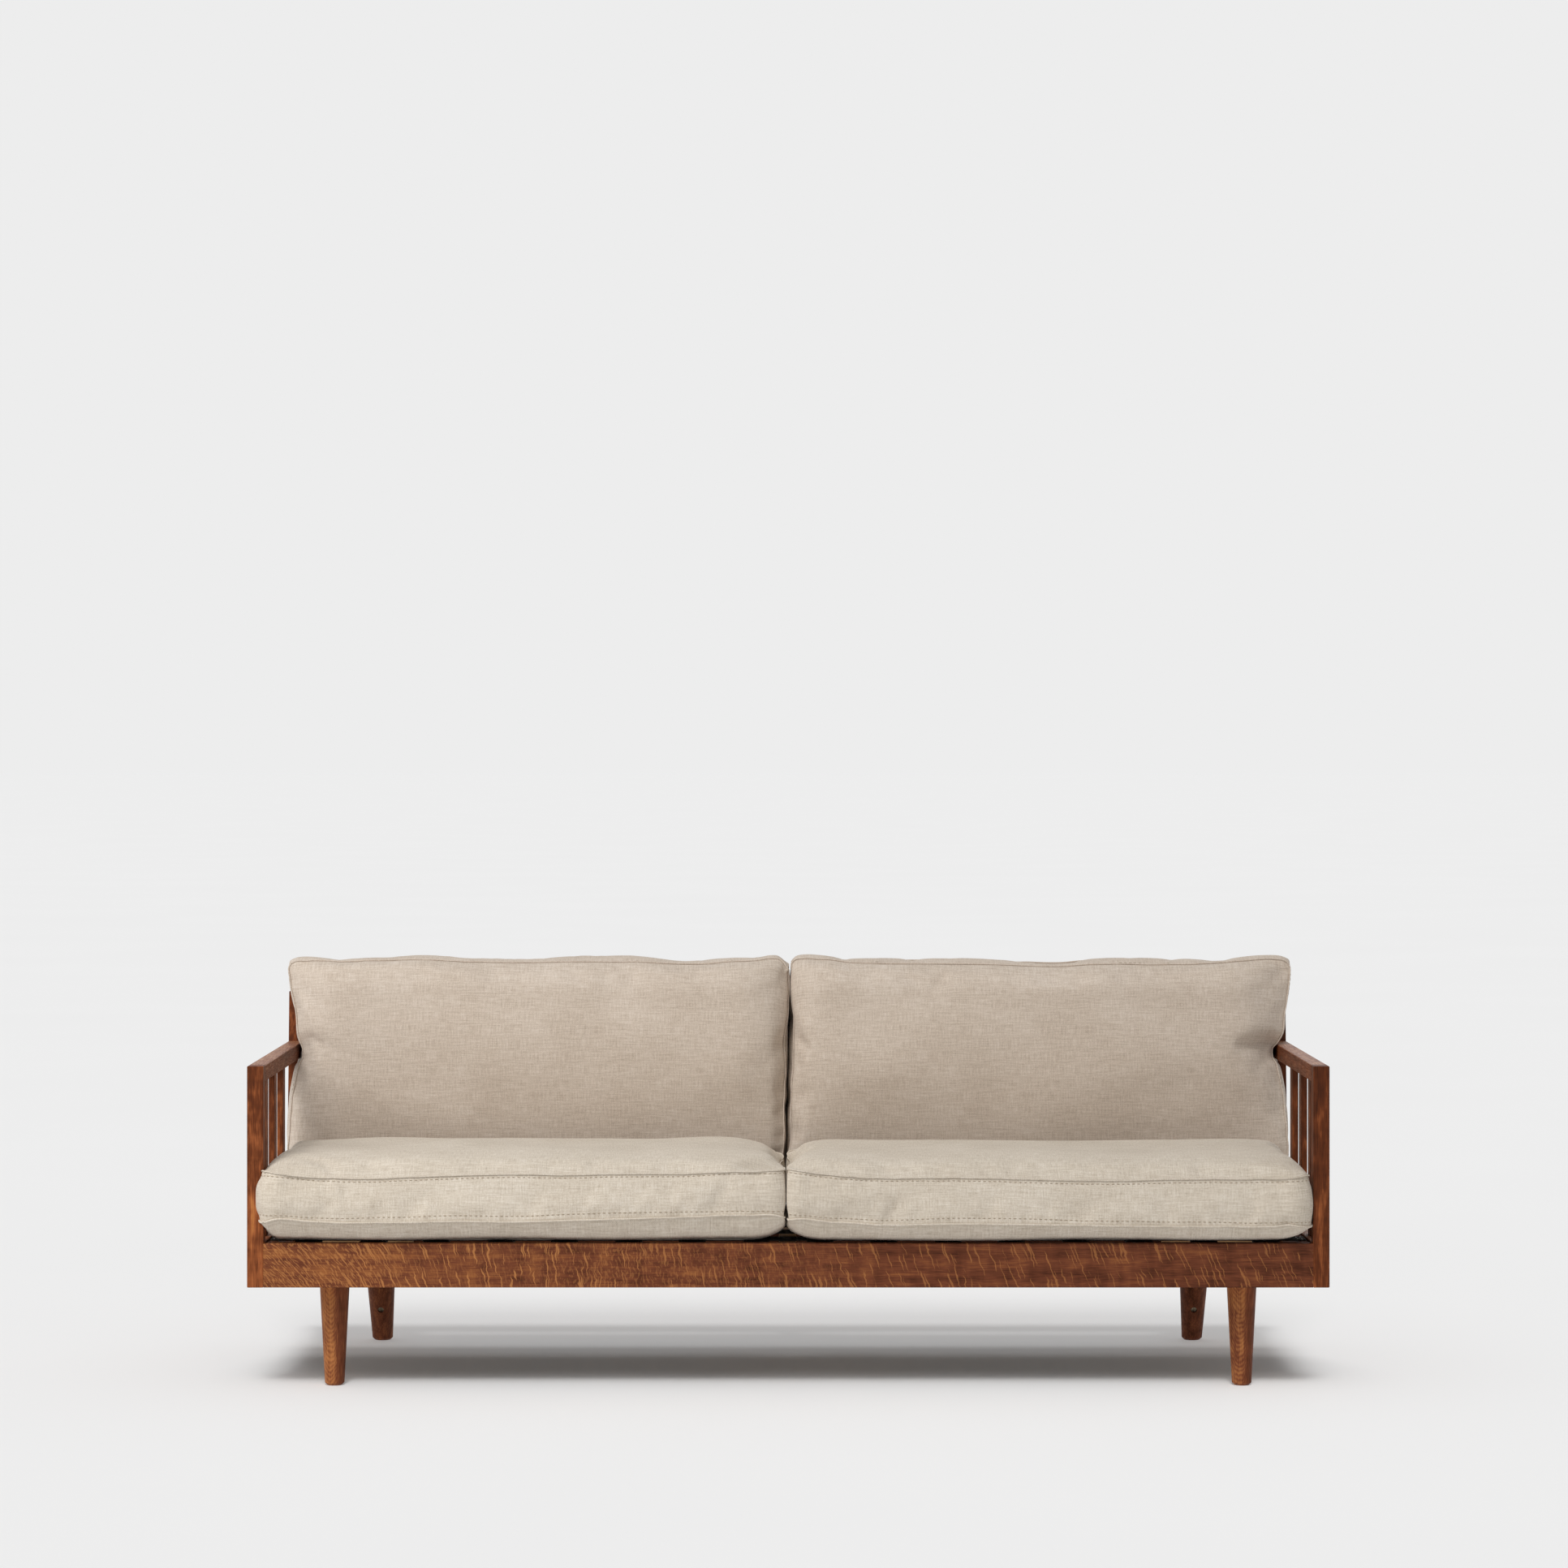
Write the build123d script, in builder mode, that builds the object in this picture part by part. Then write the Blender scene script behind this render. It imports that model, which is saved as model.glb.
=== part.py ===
from build123d import *
from math import cos, radians, sin, tan
import os

# Open-frame oak sofa with four loose cushions on a woven webbing deck.
# Millimetres, +Z up. The front faces -Y and "left" is the viewer's left, -X.
# The origin is the middle of the whole sofa on the floor.

# Overall sizes
overall_width = 2000.0
leg_height = 192.0
rail_height = 81.0
arm_height = 601.0
seat_well = 668.0  # front of the front posts to front of the back posts, at arm height
back_lean = 5.5  # degrees

# Timber sections
arris = 1.2  # small chamfer on every long edge
post_width = 30.0
post_depth = 34.0
arm_rail_height = 30.5
rail_thickness = 28.0
rail_setback = 1.0  # front rail behind the face of the posts
back_post_depth = 46.0
back_post_rise = 100.0  # above the arms, along the lean
rear_rail_inset = 14.0  # rear rail behind the front of the back posts, at rail mid-height
back_rail_thickness = 24.0
back_rail_setback = 1.0
top_rail_height = 64.0
lower_rail_height = 45.0
lower_rail_lift = 76.0  # underside of the lower back rail above the seat rails

# Slats in the arms and the back
slat_thickness = 11.5
slat_width = 38.0
arm_slat_pitch = 137.0
back_slat_margin = 148.0  # outermost back slats' centres in from the back posts
slat_seat = 8.0  # how far a slat end enters its rail
arm_slat_count = 3
back_slat_count = 13

# Mortise and tenon joints
tenon_thickness = 10.0
tenon_length = 20.0
stub_length = 11.0  # side rail into the front post, short of the front rail's tenon
tenon_shoulder = 12.0
arm_tenon_shoulder = 7.0
glue_gap = 0.1

# Seat deck
cleat_thickness = 18.0
cleat_height = 30.0
strap_width = 50.0
strap_thickness = 2.4
strap_ease = 3.0  # flat run of a crossing strap past the strap it crosses
strap_end_gap = 2.0  # strap ends short of the rails
row_count = 5
row_margin = 66.8  # outermost lengthwise straps' centres in from the cleats
column_count = 16
column_margin = 77.5  # outermost crosswise straps' centres in from the side rails
bearer_width = 34.0
bearer_height = 40.0
bearer_lift = 4.0  # above the underside of the rails
bearer_tenon = 10.0

# Legs, with their blocks, bolts, washers and barrel nuts
front_leg_inset = 123.0  # leg centre in from the side rail
front_leg_foot = 18.0  # radius at the floor
front_leg_top = 28.0  # radius at the rail
rear_leg_inset = 157.0
rear_leg_lead = 19.0  # centre of the leg's head in front of the rear rail
rear_leg_rake = 18.0  # degrees
rear_leg_foot = 20.0
rear_leg_top = 32.0
foot_ease = 4.5  # chamfer round the foot
block_thickness = 30.0
front_block_width = 190.0
front_block_depth = 118.0
rear_block_width = 225.0
rear_block_depth = 96.0
block_corner = 30.0
bolt_radius = 4.0
bolt_clearance = 0.5
bolt_head_radius = 6.5
bolt_head_height = 5.3
bolt_socket = 3.3  # half width across the flats of the hexagon socket
bolt_tip = 8.0  # bolt end past the barrel nut's axis
washer_radius = 10.0
washer_thickness = 1.6
nut_height = 72.0  # barrel nut axis above the floor, at the leg's axis
nut_radius = 6.0
nut_length = 28.0
nut_recess = 4.0  # outer end of the nut below the leg's surface
nut_slot_width = 2.0
nut_slot_depth = 2.5
nut_clearance = 0.1

# Cushions
soft_gap = 0.4  # clearance between a cushion and what it lies against
cushion_overhang = 28.0  # seat cushions in front of the posts
seat_crown = 428.0
seat_roll = 170.0  # how far in from the seam the crown still rises
seat_corner = 45.0
seat_draw = 7.0  # how far the sides pull in between the corners
seat_lobe = 9.0  # swell of the front corners over the faces of the posts
back_thickness = 165.0
back_rise = 166.0  # top of the back cushions above the arms, along the lean
back_roll = 120.0
back_corner = 30.0
back_draw = 5.0
back_lobe = 19.0  # swell of the back cushions over the arms

# Shares of a cushion's thickness, each with the share of its roll drawn in there
seat_profile_shares = (
    (0.0, 0.30), (0.06, 0.08), (0.15, 0.0), (0.54, 0.0), (0.80, 0.03), (0.92, 0.25), (1.0, 1.0),
)
back_profile_shares = (
    (0.0, 0.40), (0.06, 0.09), (0.15, 0.0), (0.80, 0.03), (0.94, 0.34), (1.0, 1.0),
)

# Places worked out from the sizes
half_width = overall_width / 2
inner_x = half_width - post_width
side_x = half_width - post_width / 2
rail_bottom = leg_height
rail_top = leg_height + rail_height
rail_middle = leg_height + rail_height / 2
arm_bottom = arm_height - arm_rail_height
lean = radians(back_lean)
back_reach = seat_well + back_post_rise * sin(lean) + back_post_depth * cos(lean)
front_y = (cushion_overhang - back_reach) / 2
back_y = front_y + seat_well
post_back = front_y + post_depth
front_rail_y = front_y + rail_setback + rail_thickness / 2
front_rail_back = front_rail_y + rail_thickness / 2
rear_rail_front = back_y + (rail_middle - arm_height) * tan(lean) + rear_rail_inset
rear_rail_y = rear_rail_front + rail_thickness / 2
slat_rows = [front_y + arm_slat_pitch * (i + 1) for i in range(arm_slat_count)]
back_slat_pitch = 2 * (inner_x - back_slat_margin) / (back_slat_count - 1)
strap_middle = rail_top - strap_thickness * 3 / 2
cleat_top = strap_middle - strap_thickness / 2
deck_front = front_rail_back + cleat_thickness
deck_back = rear_rail_front - cleat_thickness
deck_y = (deck_front + deck_back) / 2
row_pitch = (deck_back - deck_front - 2 * row_margin) / (row_count - 1)
column_pitch = 2 * (inner_x - column_margin) / (column_count - 1)

# Planes of the leaning back: its front face, and a side view with X backwards and Y up the lean
back_up = Vector(0, sin(lean), cos(lean))
back_forward = Vector(0, -cos(lean), sin(lean))
back_face = Plane(origin=(0, back_y, arm_height), x_dir=(1, 0, 0), z_dir=back_forward)
back_side = Plane(origin=(0, back_y, arm_height), x_dir=-back_forward, z_dir=(1, 0, 0))
lower_rail_bottom = (rail_top + lower_rail_lift - arm_height) / cos(lean)
lower_rail_top = lower_rail_bottom + lower_rail_height
top_rail_bottom = back_post_rise - top_rail_height
back_rail_middle = back_rail_setback + back_rail_thickness / 2

os.makedirs("parts", exist_ok=True)


def save(piece, name):
    """Label one finished piece and write it."""
    piece.label = name
    export_step(piece, f"parts/{name}.step")


def save_pair(piece, name):
    """Write a right-hand piece and its mirror image on the left."""
    save(piece, f"right_{name}")
    save(piece.mirror(Plane.YZ), f"left_{name}")


def back_post_front(height):
    """Y of the back posts' front face at a height above the floor."""
    return back_y + (height - arm_height) * tan(lean)


def up_the_back(rise):
    """Plane square to the lean, at a distance above arm height measured along the lean."""
    return Plane(origin=back_face.origin + back_up * rise, x_dir=(1, 0, 0), z_dir=back_up)


# Tenon sections, drawn on a side view and grown by the glue gap for the mortise
def rail_tenon(y, spare=0.0):
    with Locations((y, rail_middle)):
        Rectangle(tenon_thickness + 2 * spare, rail_height - 2 * tenon_shoulder + 2 * spare)


def back_tenon(low, high, spare=0.0):
    with Locations((back_rail_middle, (low + high) / 2)):
        Rectangle(tenon_thickness + 2 * spare, high - low - 2 * tenon_shoulder + 2 * spare)


def bar_tenons(front_length, low, high, spare=0.0):
    """Tenons at both ends of a bar in the arm frame, grown by the glue gap for the mortises."""
    front_ends = (post_back - front_length, post_back)
    back_ends = (back_post_front(low), back_post_front(low) + tenon_length)
    with BuildPart() as tenons:
        with BuildSketch(Plane.YZ.offset(side_x)):
            for start, end in (front_ends, back_ends):
                with Locations(((start + end) / 2, (low + high) / 2)):
                    Rectangle(end - start + 2 * spare, high - low + 2 * spare)
        extrude(amount=tenon_thickness / 2 + spare, both=True)
    return tenons.part


def side_rail_tenons(spare=0.0):
    return bar_tenons(stub_length, rail_bottom + tenon_shoulder, rail_top - tenon_shoulder, spare)


def arm_rail_tenons(spare=0.0):
    low = arm_bottom + arm_tenon_shoulder
    return bar_tenons(tenon_length, low, arm_height - arm_tenon_shoulder, spare)


def arm_slat_sections(spare=0.0):
    with Locations(*[(side_x, y) for y in slat_rows]):
        Rectangle(slat_thickness + 2 * spare, slat_width + 2 * spare)


def back_slat_sections(spare=0.0):
    with Locations((0, back_rail_middle)):
        with GridLocations(back_slat_pitch, 0, back_slat_count, 1):
            Rectangle(slat_width + 2 * spare, slat_thickness + 2 * spare)


def bearer_tenon_section(spare=0.0):
    with Locations((0, rail_bottom + bearer_lift + bearer_height / 2)):
        Rectangle(tenon_thickness + 2 * spare, bearer_height / 2 + 2 * spare)


def side_bar(low, high):
    """Right-hand bar from the front post to the sloping front of the back post."""
    with BuildPart() as bar:
        with BuildSketch(Plane.YZ.offset(inner_x)):
            with BuildLine():
                Polyline(
                    (post_back, low),
                    (back_post_front(low), low),
                    (back_post_front(high), high),
                    (post_back, high),
                    close=True,
                )
            make_face()
        extrude(amount=post_width)
        chamfer(bar.edges().filter_by(Axis.Y), arris)
    return bar.part


# Front rail, tenoned into the front posts, with a mortise for the centre bearer
with BuildPart() as front_rail:
    with BuildSketch(Plane.YZ):
        with Locations((front_rail_y, rail_middle)):
            Rectangle(rail_thickness, rail_height)
    extrude(amount=inner_x, both=True)
    chamfer(front_rail.edges().filter_by(Axis.X), arris)
    with BuildSketch(Plane.YZ):
        rail_tenon(front_rail_y)
    extrude(amount=inner_x + tenon_length, both=True)
    with BuildSketch(Plane.XZ.offset(-front_rail_back)):
        bearer_tenon_section(glue_gap)
    extrude(amount=bearer_tenon + glue_gap, mode=Mode.SUBTRACT)
save(front_rail.part, "front_rail")

# Rear rail, tenoned into the back posts
with BuildPart() as rear_rail:
    with BuildSketch(Plane.YZ):
        with Locations((rear_rail_y, rail_middle)):
            Rectangle(rail_thickness, rail_height)
    extrude(amount=inner_x, both=True)
    chamfer(rear_rail.edges().filter_by(Axis.X), arris)
    with BuildSketch(Plane.YZ):
        rail_tenon(rear_rail_y)
    extrude(amount=inner_x + tenon_length, both=True)
    with BuildSketch(Plane.XZ.offset(-rear_rail_front)):
        bearer_tenon_section(glue_gap)
    extrude(amount=-bearer_tenon - glue_gap, mode=Mode.SUBTRACT)
save(rear_rail.part, "rear_rail")

# Side rails, with pockets for the arm slats
with BuildPart() as side_rail:
    add(side_bar(rail_bottom, rail_top))
    add(side_rail_tenons())
    with BuildSketch(Plane.XY.offset(rail_top)):
        arm_slat_sections(glue_gap)
    extrude(amount=-slat_seat - glue_gap, mode=Mode.SUBTRACT)
save_pair(side_rail.part, "side_rail")

# Arm rails
with BuildPart() as arm_rail:
    add(side_bar(arm_bottom, arm_height))
    add(arm_rail_tenons())
    with BuildSketch(Plane.XY.offset(arm_bottom)):
        arm_slat_sections(glue_gap)
    extrude(amount=slat_seat + glue_gap, mode=Mode.SUBTRACT)
save_pair(arm_rail.part, "arm_rail")

# Arm slats, whose ends sit in pockets in the arm rail and the side rail
with BuildPart() as arm_slats:
    with BuildSketch(Plane.XY.offset(rail_top - slat_seat)):
        arm_slat_sections()
    extrude(amount=arm_bottom - rail_top + 2 * slat_seat)
    chamfer(arm_slats.edges().filter_by(Axis.Z), arris)
save_pair(arm_slats.part, "arm_slats")

# Front posts, with mortises for the front rail, the side rail and the arm rail
with BuildPart() as front_post:
    with BuildSketch(Plane.XY.offset(rail_bottom)):
        with Locations((side_x, front_y + post_depth / 2)):
            Rectangle(post_width, post_depth)
    extrude(amount=arm_height - rail_bottom)
    chamfer(front_post.edges(), arris)
    with BuildSketch(Plane.YZ.offset(inner_x)):
        rail_tenon(front_rail_y, glue_gap)
    extrude(amount=tenon_length + glue_gap, mode=Mode.SUBTRACT)
    add(side_rail_tenons(glue_gap), mode=Mode.SUBTRACT)
    add(arm_rail_tenons(glue_gap), mode=Mode.SUBTRACT)
save_pair(front_post.part, "front_post")


def back_post_foot(depth):
    """Distance down the lean to the underside of the rails, at a depth behind the front face."""
    return (rail_bottom - arm_height + depth * sin(lean)) / cos(lean)


# Back posts, leaning back and cut level at the foot
with BuildPart() as back_post:
    with BuildSketch(back_side.offset(inner_x)):
        with BuildLine():
            Polyline(
                (0, back_post_foot(0)),
                (back_post_depth, back_post_foot(back_post_depth)),
                (back_post_depth, back_post_rise),
                (0, back_post_rise),
                close=True,
            )
        make_face()
    extrude(amount=post_width)
    chamfer(back_post.edges(), arris)
    with BuildSketch(Plane.YZ.offset(inner_x)):
        rail_tenon(rear_rail_y, glue_gap)
    extrude(amount=tenon_length + glue_gap, mode=Mode.SUBTRACT)
    with BuildSketch(back_side.offset(inner_x)):
        back_tenon(top_rail_bottom, back_post_rise, glue_gap)
        back_tenon(lower_rail_bottom, lower_rail_top, glue_gap)
    extrude(amount=tenon_length + glue_gap, mode=Mode.SUBTRACT)
    add(side_rail_tenons(glue_gap), mode=Mode.SUBTRACT)
    add(arm_rail_tenons(glue_gap), mode=Mode.SUBTRACT)
save_pair(back_post.part, "back_post")


def back_rail(low, high, slat_end, slat_cut):
    """Rail between the back posts, with pockets for the back slats at one edge."""
    with BuildPart() as rail:
        with BuildSketch(back_side):
            with Locations((back_rail_middle, (low + high) / 2)):
                Rectangle(back_rail_thickness, high - low)
        extrude(amount=inner_x, both=True)
        chamfer(rail.edges().filter_by(Axis.X), arris)
        with BuildSketch(back_side):
            back_tenon(low, high)
        extrude(amount=inner_x + tenon_length, both=True)
        with BuildSketch(up_the_back(slat_end)):
            back_slat_sections(glue_gap)
        extrude(amount=slat_cut, mode=Mode.SUBTRACT)
    return rail.part


# Back rails and the slats between them
pocket_depth = slat_seat + glue_gap
save(back_rail(top_rail_bottom, back_post_rise, top_rail_bottom, pocket_depth), "back_top_rail")
save(
    back_rail(lower_rail_bottom, lower_rail_top, lower_rail_top, -pocket_depth),
    "back_lower_rail",
)
with BuildPart() as back_slats:
    with BuildSketch(up_the_back(lower_rail_top - slat_seat)):
        back_slat_sections()
    extrude(amount=top_rail_bottom - lower_rail_top + 2 * slat_seat)
    chamfer(back_slats.edges().filter_by(Axis((0, 0, 0), tuple(back_up))), arris)
save(back_slats.part, "back_slats")

# Centre bearer, which keeps the two long rails from spreading or bowing
with BuildPart() as centre_bearer:
    with BuildSketch(Plane.XZ.offset(-front_rail_back)):
        with Locations((0, rail_bottom + bearer_lift + bearer_height / 2)):
            Rectangle(bearer_width, bearer_height)
    extrude(amount=front_rail_back - rear_rail_front)
    chamfer(centre_bearer.edges().filter_by(Axis.Y), arris)
    with BuildSketch(Plane.XZ.offset(bearer_tenon - front_rail_back)):
        bearer_tenon_section()
    extrude(amount=front_rail_back - rear_rail_front - 2 * bearer_tenon)
save(centre_bearer.part, "centre_bearer")


def cleat(left, right, front, back):
    """Batten whose top carries the ends of the webbing straps."""
    with BuildPart() as batten:
        with BuildSketch(Plane.XY.offset(cleat_top - cleat_height)):
            with Locations(((left + right) / 2, (front + back) / 2)):
                Rectangle(right - left, back - front)
        extrude(amount=cleat_height)
        chamfer(batten.edges().group_by(Axis.Z)[0], arris)
    return batten.part


# Webbing cleats inside the four rails
save(cleat(-inner_x, inner_x, front_rail_back, deck_front), "front_cleat")
save(cleat(-inner_x, inner_x, deck_back, rear_rail_front), "rear_cleat")
save_pair(cleat(inner_x - cleat_thickness, inner_x, deck_front, deck_back), "side_cleat")

# Lengthwise straps, flat, from one side cleat to the other
with BuildPart() as webbing_lengthwise:
    with BuildSketch(Plane.XY.offset(cleat_top)):
        with Locations((0, deck_y)):
            with GridLocations(0, row_pitch, 1, row_count):
                Rectangle(2 * (inner_x - strap_end_gap), strap_width)
    extrude(amount=strap_thickness)
save(webbing_lengthwise.part, "webbing_lengthwise")


def woven_edge(first_over, offset):
    """One edge of a strap that passes over and under the rows by turns."""
    level = strap_middle + offset
    points = [(front_rail_back + strap_end_gap, level), (deck_front, level)]
    for row in range(row_count):
        over = (row % 2 == 0) == first_over
        height = level + (strap_thickness if over else -strap_thickness)
        row_y = deck_y + (row - (row_count - 1) / 2) * row_pitch
        reach = strap_width / 2 + strap_ease
        points += [(row_y - reach, height), (row_y + reach, height)]
    points += [(deck_back, level), (rear_rail_front - strap_end_gap, level)]
    return points


# Front-to-back straps, woven through the lengthwise ones
with BuildPart() as webbing_crosswise:
    for column in range(column_count):
        column_x = (column - (column_count - 1) / 2) * column_pitch
        top = woven_edge(column % 2 == 0, strap_thickness / 2)
        underside = woven_edge(column % 2 == 0, -strap_thickness / 2)
        with BuildSketch(Plane.YZ.offset(column_x)):
            with BuildLine():
                Polyline(*top, *reversed(underside), close=True)
            make_face()
        extrude(amount=strap_width / 2, both=True)
save(webbing_crosswise.part, "webbing_crosswise")

# Places of the legs: the foot centre and the direction up the leg
rake = radians(rear_leg_rake)
front_leg_axis = Plane(
    origin=(inner_x - front_leg_inset, front_rail_back + front_block_depth / 2, 0),
    x_dir=(1, 0, 0),
    z_dir=(0, 0, 1),
)
rear_leg_axis = Plane(
    origin=(
        inner_x - rear_leg_inset,
        rear_rail_front - rear_leg_lead + leg_height * tan(rake),
        0,
    ),
    x_dir=(1, 0, 0),
    z_dir=(0, -sin(rake), cos(rake)),
)
front_bolt_start = leg_height + block_thickness
rear_bolt_start = (leg_height + block_thickness) / cos(rake) - washer_radius * tan(rake)
front_nut_rise = nut_height
rear_nut_rise = nut_height / cos(rake)


def nut_plane(axis, nut_rise, facing):
    """Plane at the barrel nut's middle, square to the nut: facing 1 points to the front."""
    across = axis.y_dir * -facing
    return Plane(origin=axis.origin + axis.z_dir * nut_rise, x_dir=axis.x_dir, z_dir=across)


def fastener_bores(axis, nut_rise, leg_radius, facing):
    """The bolt's bore and the barrel nut's cross bore, to be cut out of a leg."""
    nut_face = nut_plane(axis, nut_rise, facing).offset(leg_radius - nut_recess - nut_length)
    with BuildPart() as bores:
        with BuildSketch(axis.offset(nut_rise - bolt_tip - bolt_clearance)):
            Circle(bolt_radius + bolt_clearance)
        extrude(amount=leg_height)
        with BuildSketch(nut_face):
            Circle(nut_radius + nut_clearance)
        extrude(amount=leg_height)
    return bores.part


# Front legs: tapered, upright, with the barrel nut's bore at the back
with BuildPart() as front_leg:
    with BuildSketch(Plane.XZ) as front_leg_profile:
        with BuildLine():
            Polyline(
                (0, 0),
                (front_leg_foot, 0),
                (front_leg_top, leg_height),
                (0, leg_height),
                close=True,
            )
        make_face()
    revolve(axis=Axis.Z)
    chamfer(front_leg.edges().group_by(Axis.Z)[0], foot_ease)
front_leg_body = front_leg_axis.location * front_leg.part
front_nut_surface = front_leg_foot + (front_leg_top - front_leg_foot) * nut_height / leg_height
with BuildPart() as bored_front_leg:
    add(front_leg_body)
    add(
        fastener_bores(front_leg_axis, front_nut_rise, front_nut_surface, -1),
        mode=Mode.SUBTRACT,
    )
save_pair(bored_front_leg.part, "front_leg")

# Rear legs: tapered, raked back and cut level at both ends
rear_leg_length = leg_height / cos(rake)
rear_leg_growth = (rear_leg_top - rear_leg_foot) / rear_leg_length
rear_leg_spare = rear_leg_top * tan(rake)
rear_nut_surface = rear_leg_foot + rear_leg_growth * rear_nut_rise
with BuildPart() as rear_leg:
    with BuildSketch(Plane.XZ):
        with BuildLine():
            Polyline(
                (0, -rear_leg_spare),
                (rear_leg_foot - rear_leg_growth * rear_leg_spare, -rear_leg_spare),
                (
                    rear_leg_top + rear_leg_growth * rear_leg_spare,
                    rear_leg_length + rear_leg_spare,
                ),
                (0, rear_leg_length + rear_leg_spare),
                close=True,
            )
        make_face()
    revolve(axis=Axis.Z)
with BuildPart() as raked_leg:
    add(rear_leg_axis.location * rear_leg.part)
    split(bisect_by=Plane.XY, keep=Keep.TOP)
    split(bisect_by=Plane.XY.offset(leg_height), keep=Keep.BOTTOM)
    chamfer(raked_leg.edges().group_by(Axis.Z)[0], foot_ease)
    add(
        fastener_bores(rear_leg_axis, rear_nut_rise, rear_nut_surface, 1),
        mode=Mode.SUBTRACT,
    )
save_pair(raked_leg.part, "rear_leg")


def leg_block(axis, bolt_start, front, back, width):
    """Corner block above a leg, with the bolt's bore and a flat seat for its washer."""
    with BuildPart() as block:
        with BuildSketch(Plane.XY.offset(rail_bottom)):
            with Locations((inner_x - width / 2, (front + back) / 2)):
                block_face = Rectangle(width, back - front)
            inner_corners = block_face.vertices().group_by(Axis.X)[0]
            chamfer(inner_corners, block_corner)
        extrude(amount=block_thickness)
        with BuildSketch(axis):
            Circle(bolt_radius + bolt_clearance)
        extrude(amount=bolt_start + block_thickness, mode=Mode.SUBTRACT)
        with BuildSketch(axis.offset(bolt_start)):
            Circle(washer_radius + bolt_clearance)
        extrude(amount=block_thickness, mode=Mode.SUBTRACT)
    return block.part


# Leg blocks, glued and screwed into the corners of the frame
save_pair(
    leg_block(
        front_leg_axis,
        front_bolt_start,
        front_rail_back,
        front_rail_back + front_block_depth,
        front_block_width,
    ),
    "front_leg_block",
)
save_pair(
    leg_block(
        rear_leg_axis,
        rear_bolt_start,
        rear_rail_front - rear_block_depth,
        rear_rail_front,
        rear_block_width,
    ),
    "rear_leg_block",
)


def both_sides(piece):
    """A right-hand piece and its mirror image as one group."""
    add(piece)
    add(piece.mirror(Plane.YZ))


def leg_bolt(axis, bolt_start, nut_rise):
    """Socket head bolt from the block down through the barrel nut."""
    with BuildPart() as bolt:
        with BuildSketch(axis.offset(nut_rise - bolt_tip)):
            Circle(bolt_radius)
        extrude(amount=bolt_start + washer_thickness - nut_rise + bolt_tip)
        with BuildSketch(axis.offset(bolt_start + washer_thickness)):
            Circle(bolt_head_radius)
        extrude(amount=bolt_head_height)
        with BuildSketch(axis.offset(bolt_start + washer_thickness + bolt_head_height)):
            RegularPolygon(bolt_socket, 6, major_radius=False)
        extrude(amount=-bolt_head_height / 2, mode=Mode.SUBTRACT)
    return bolt.part


def leg_washer(axis, bolt_start):
    with BuildPart() as washer:
        with BuildSketch(axis.offset(bolt_start)):
            Circle(washer_radius)
            Circle(bolt_radius + nut_clearance, mode=Mode.SUBTRACT)
        extrude(amount=washer_thickness)
    return washer.part


def barrel_nut(axis, nut_rise, leg_radius, facing):
    """Cross dowel whose slotted end shows in its bore on the side of the leg."""
    across = nut_plane(axis, nut_rise, facing)
    with BuildPart() as nut:
        with BuildSketch(across.offset(leg_radius - nut_recess)):
            Circle(nut_radius)
        extrude(amount=-nut_length)
        with BuildSketch(across.offset(leg_radius - nut_recess)):
            Rectangle(nut_slot_width, nut_radius * 2)
        extrude(amount=-nut_slot_depth, mode=Mode.SUBTRACT)
        with BuildSketch(axis.offset(nut_rise - nut_radius)):
            Circle(bolt_radius + nut_clearance)
        extrude(amount=nut_radius * 2, mode=Mode.SUBTRACT)
    return nut.part


# Fasteners of the legs
with BuildPart() as leg_bolts:
    both_sides(leg_bolt(front_leg_axis, front_bolt_start, front_nut_rise))
    both_sides(leg_bolt(rear_leg_axis, rear_bolt_start, rear_nut_rise))
save(leg_bolts.part, "leg_bolts")
with BuildPart() as leg_washers:
    both_sides(leg_washer(front_leg_axis, front_bolt_start))
    both_sides(leg_washer(rear_leg_axis, rear_bolt_start))
save(leg_washers.part, "leg_washers")
with BuildPart() as barrel_nuts:
    both_sides(barrel_nut(front_leg_axis, front_nut_rise, front_nut_surface, -1))
    both_sides(barrel_nut(rear_leg_axis, rear_nut_rise, rear_nut_surface, 1))
save(barrel_nuts.part, "barrel_nuts")


def cushion_section(plane, left, right, low, high, corner, draw):
    """Section of a cushion: round corners, and sides that pull in between them."""
    middle_x = (left + right) / 2
    middle_y = (low + high) / 2
    bend = corner * (1 - sin(radians(45)))
    with BuildSketch(plane) as section:
        with BuildLine():
            ThreePointArc((left + corner, low), (middle_x, low + draw), (right - corner, low))
            ThreePointArc(
                (right - corner, low), (right - bend, low + bend), (right, low + corner)
            )
            ThreePointArc((right, low + corner), (right - draw, middle_y), (right, high - corner))
            ThreePointArc(
                (right, high - corner), (right - bend, high - bend), (right - corner, high)
            )
            ThreePointArc((right - corner, high), (middle_x, high - draw), (left + corner, high))
            ThreePointArc((left + corner, high), (left + bend, high - bend), (left, high - corner))
            ThreePointArc((left, high - corner), (left + draw, middle_y), (left, low + corner))
            ThreePointArc((left, low + corner), (left + bend, low + bend), (left + corner, low))
        make_face()
    return section.sketch.face()


def room_beyond(left, front, low, high):
    """Space beyond a left edge and a front edge, kept free for what stands there."""
    with BuildPart() as room:
        with BuildSketch(Plane.XY.offset(low)):
            with Locations((left, front)):
                Rectangle(overall_width, 2 * overall_width, align=Align.MIN)
        extrude(amount=high - low)
    return room.part


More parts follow.
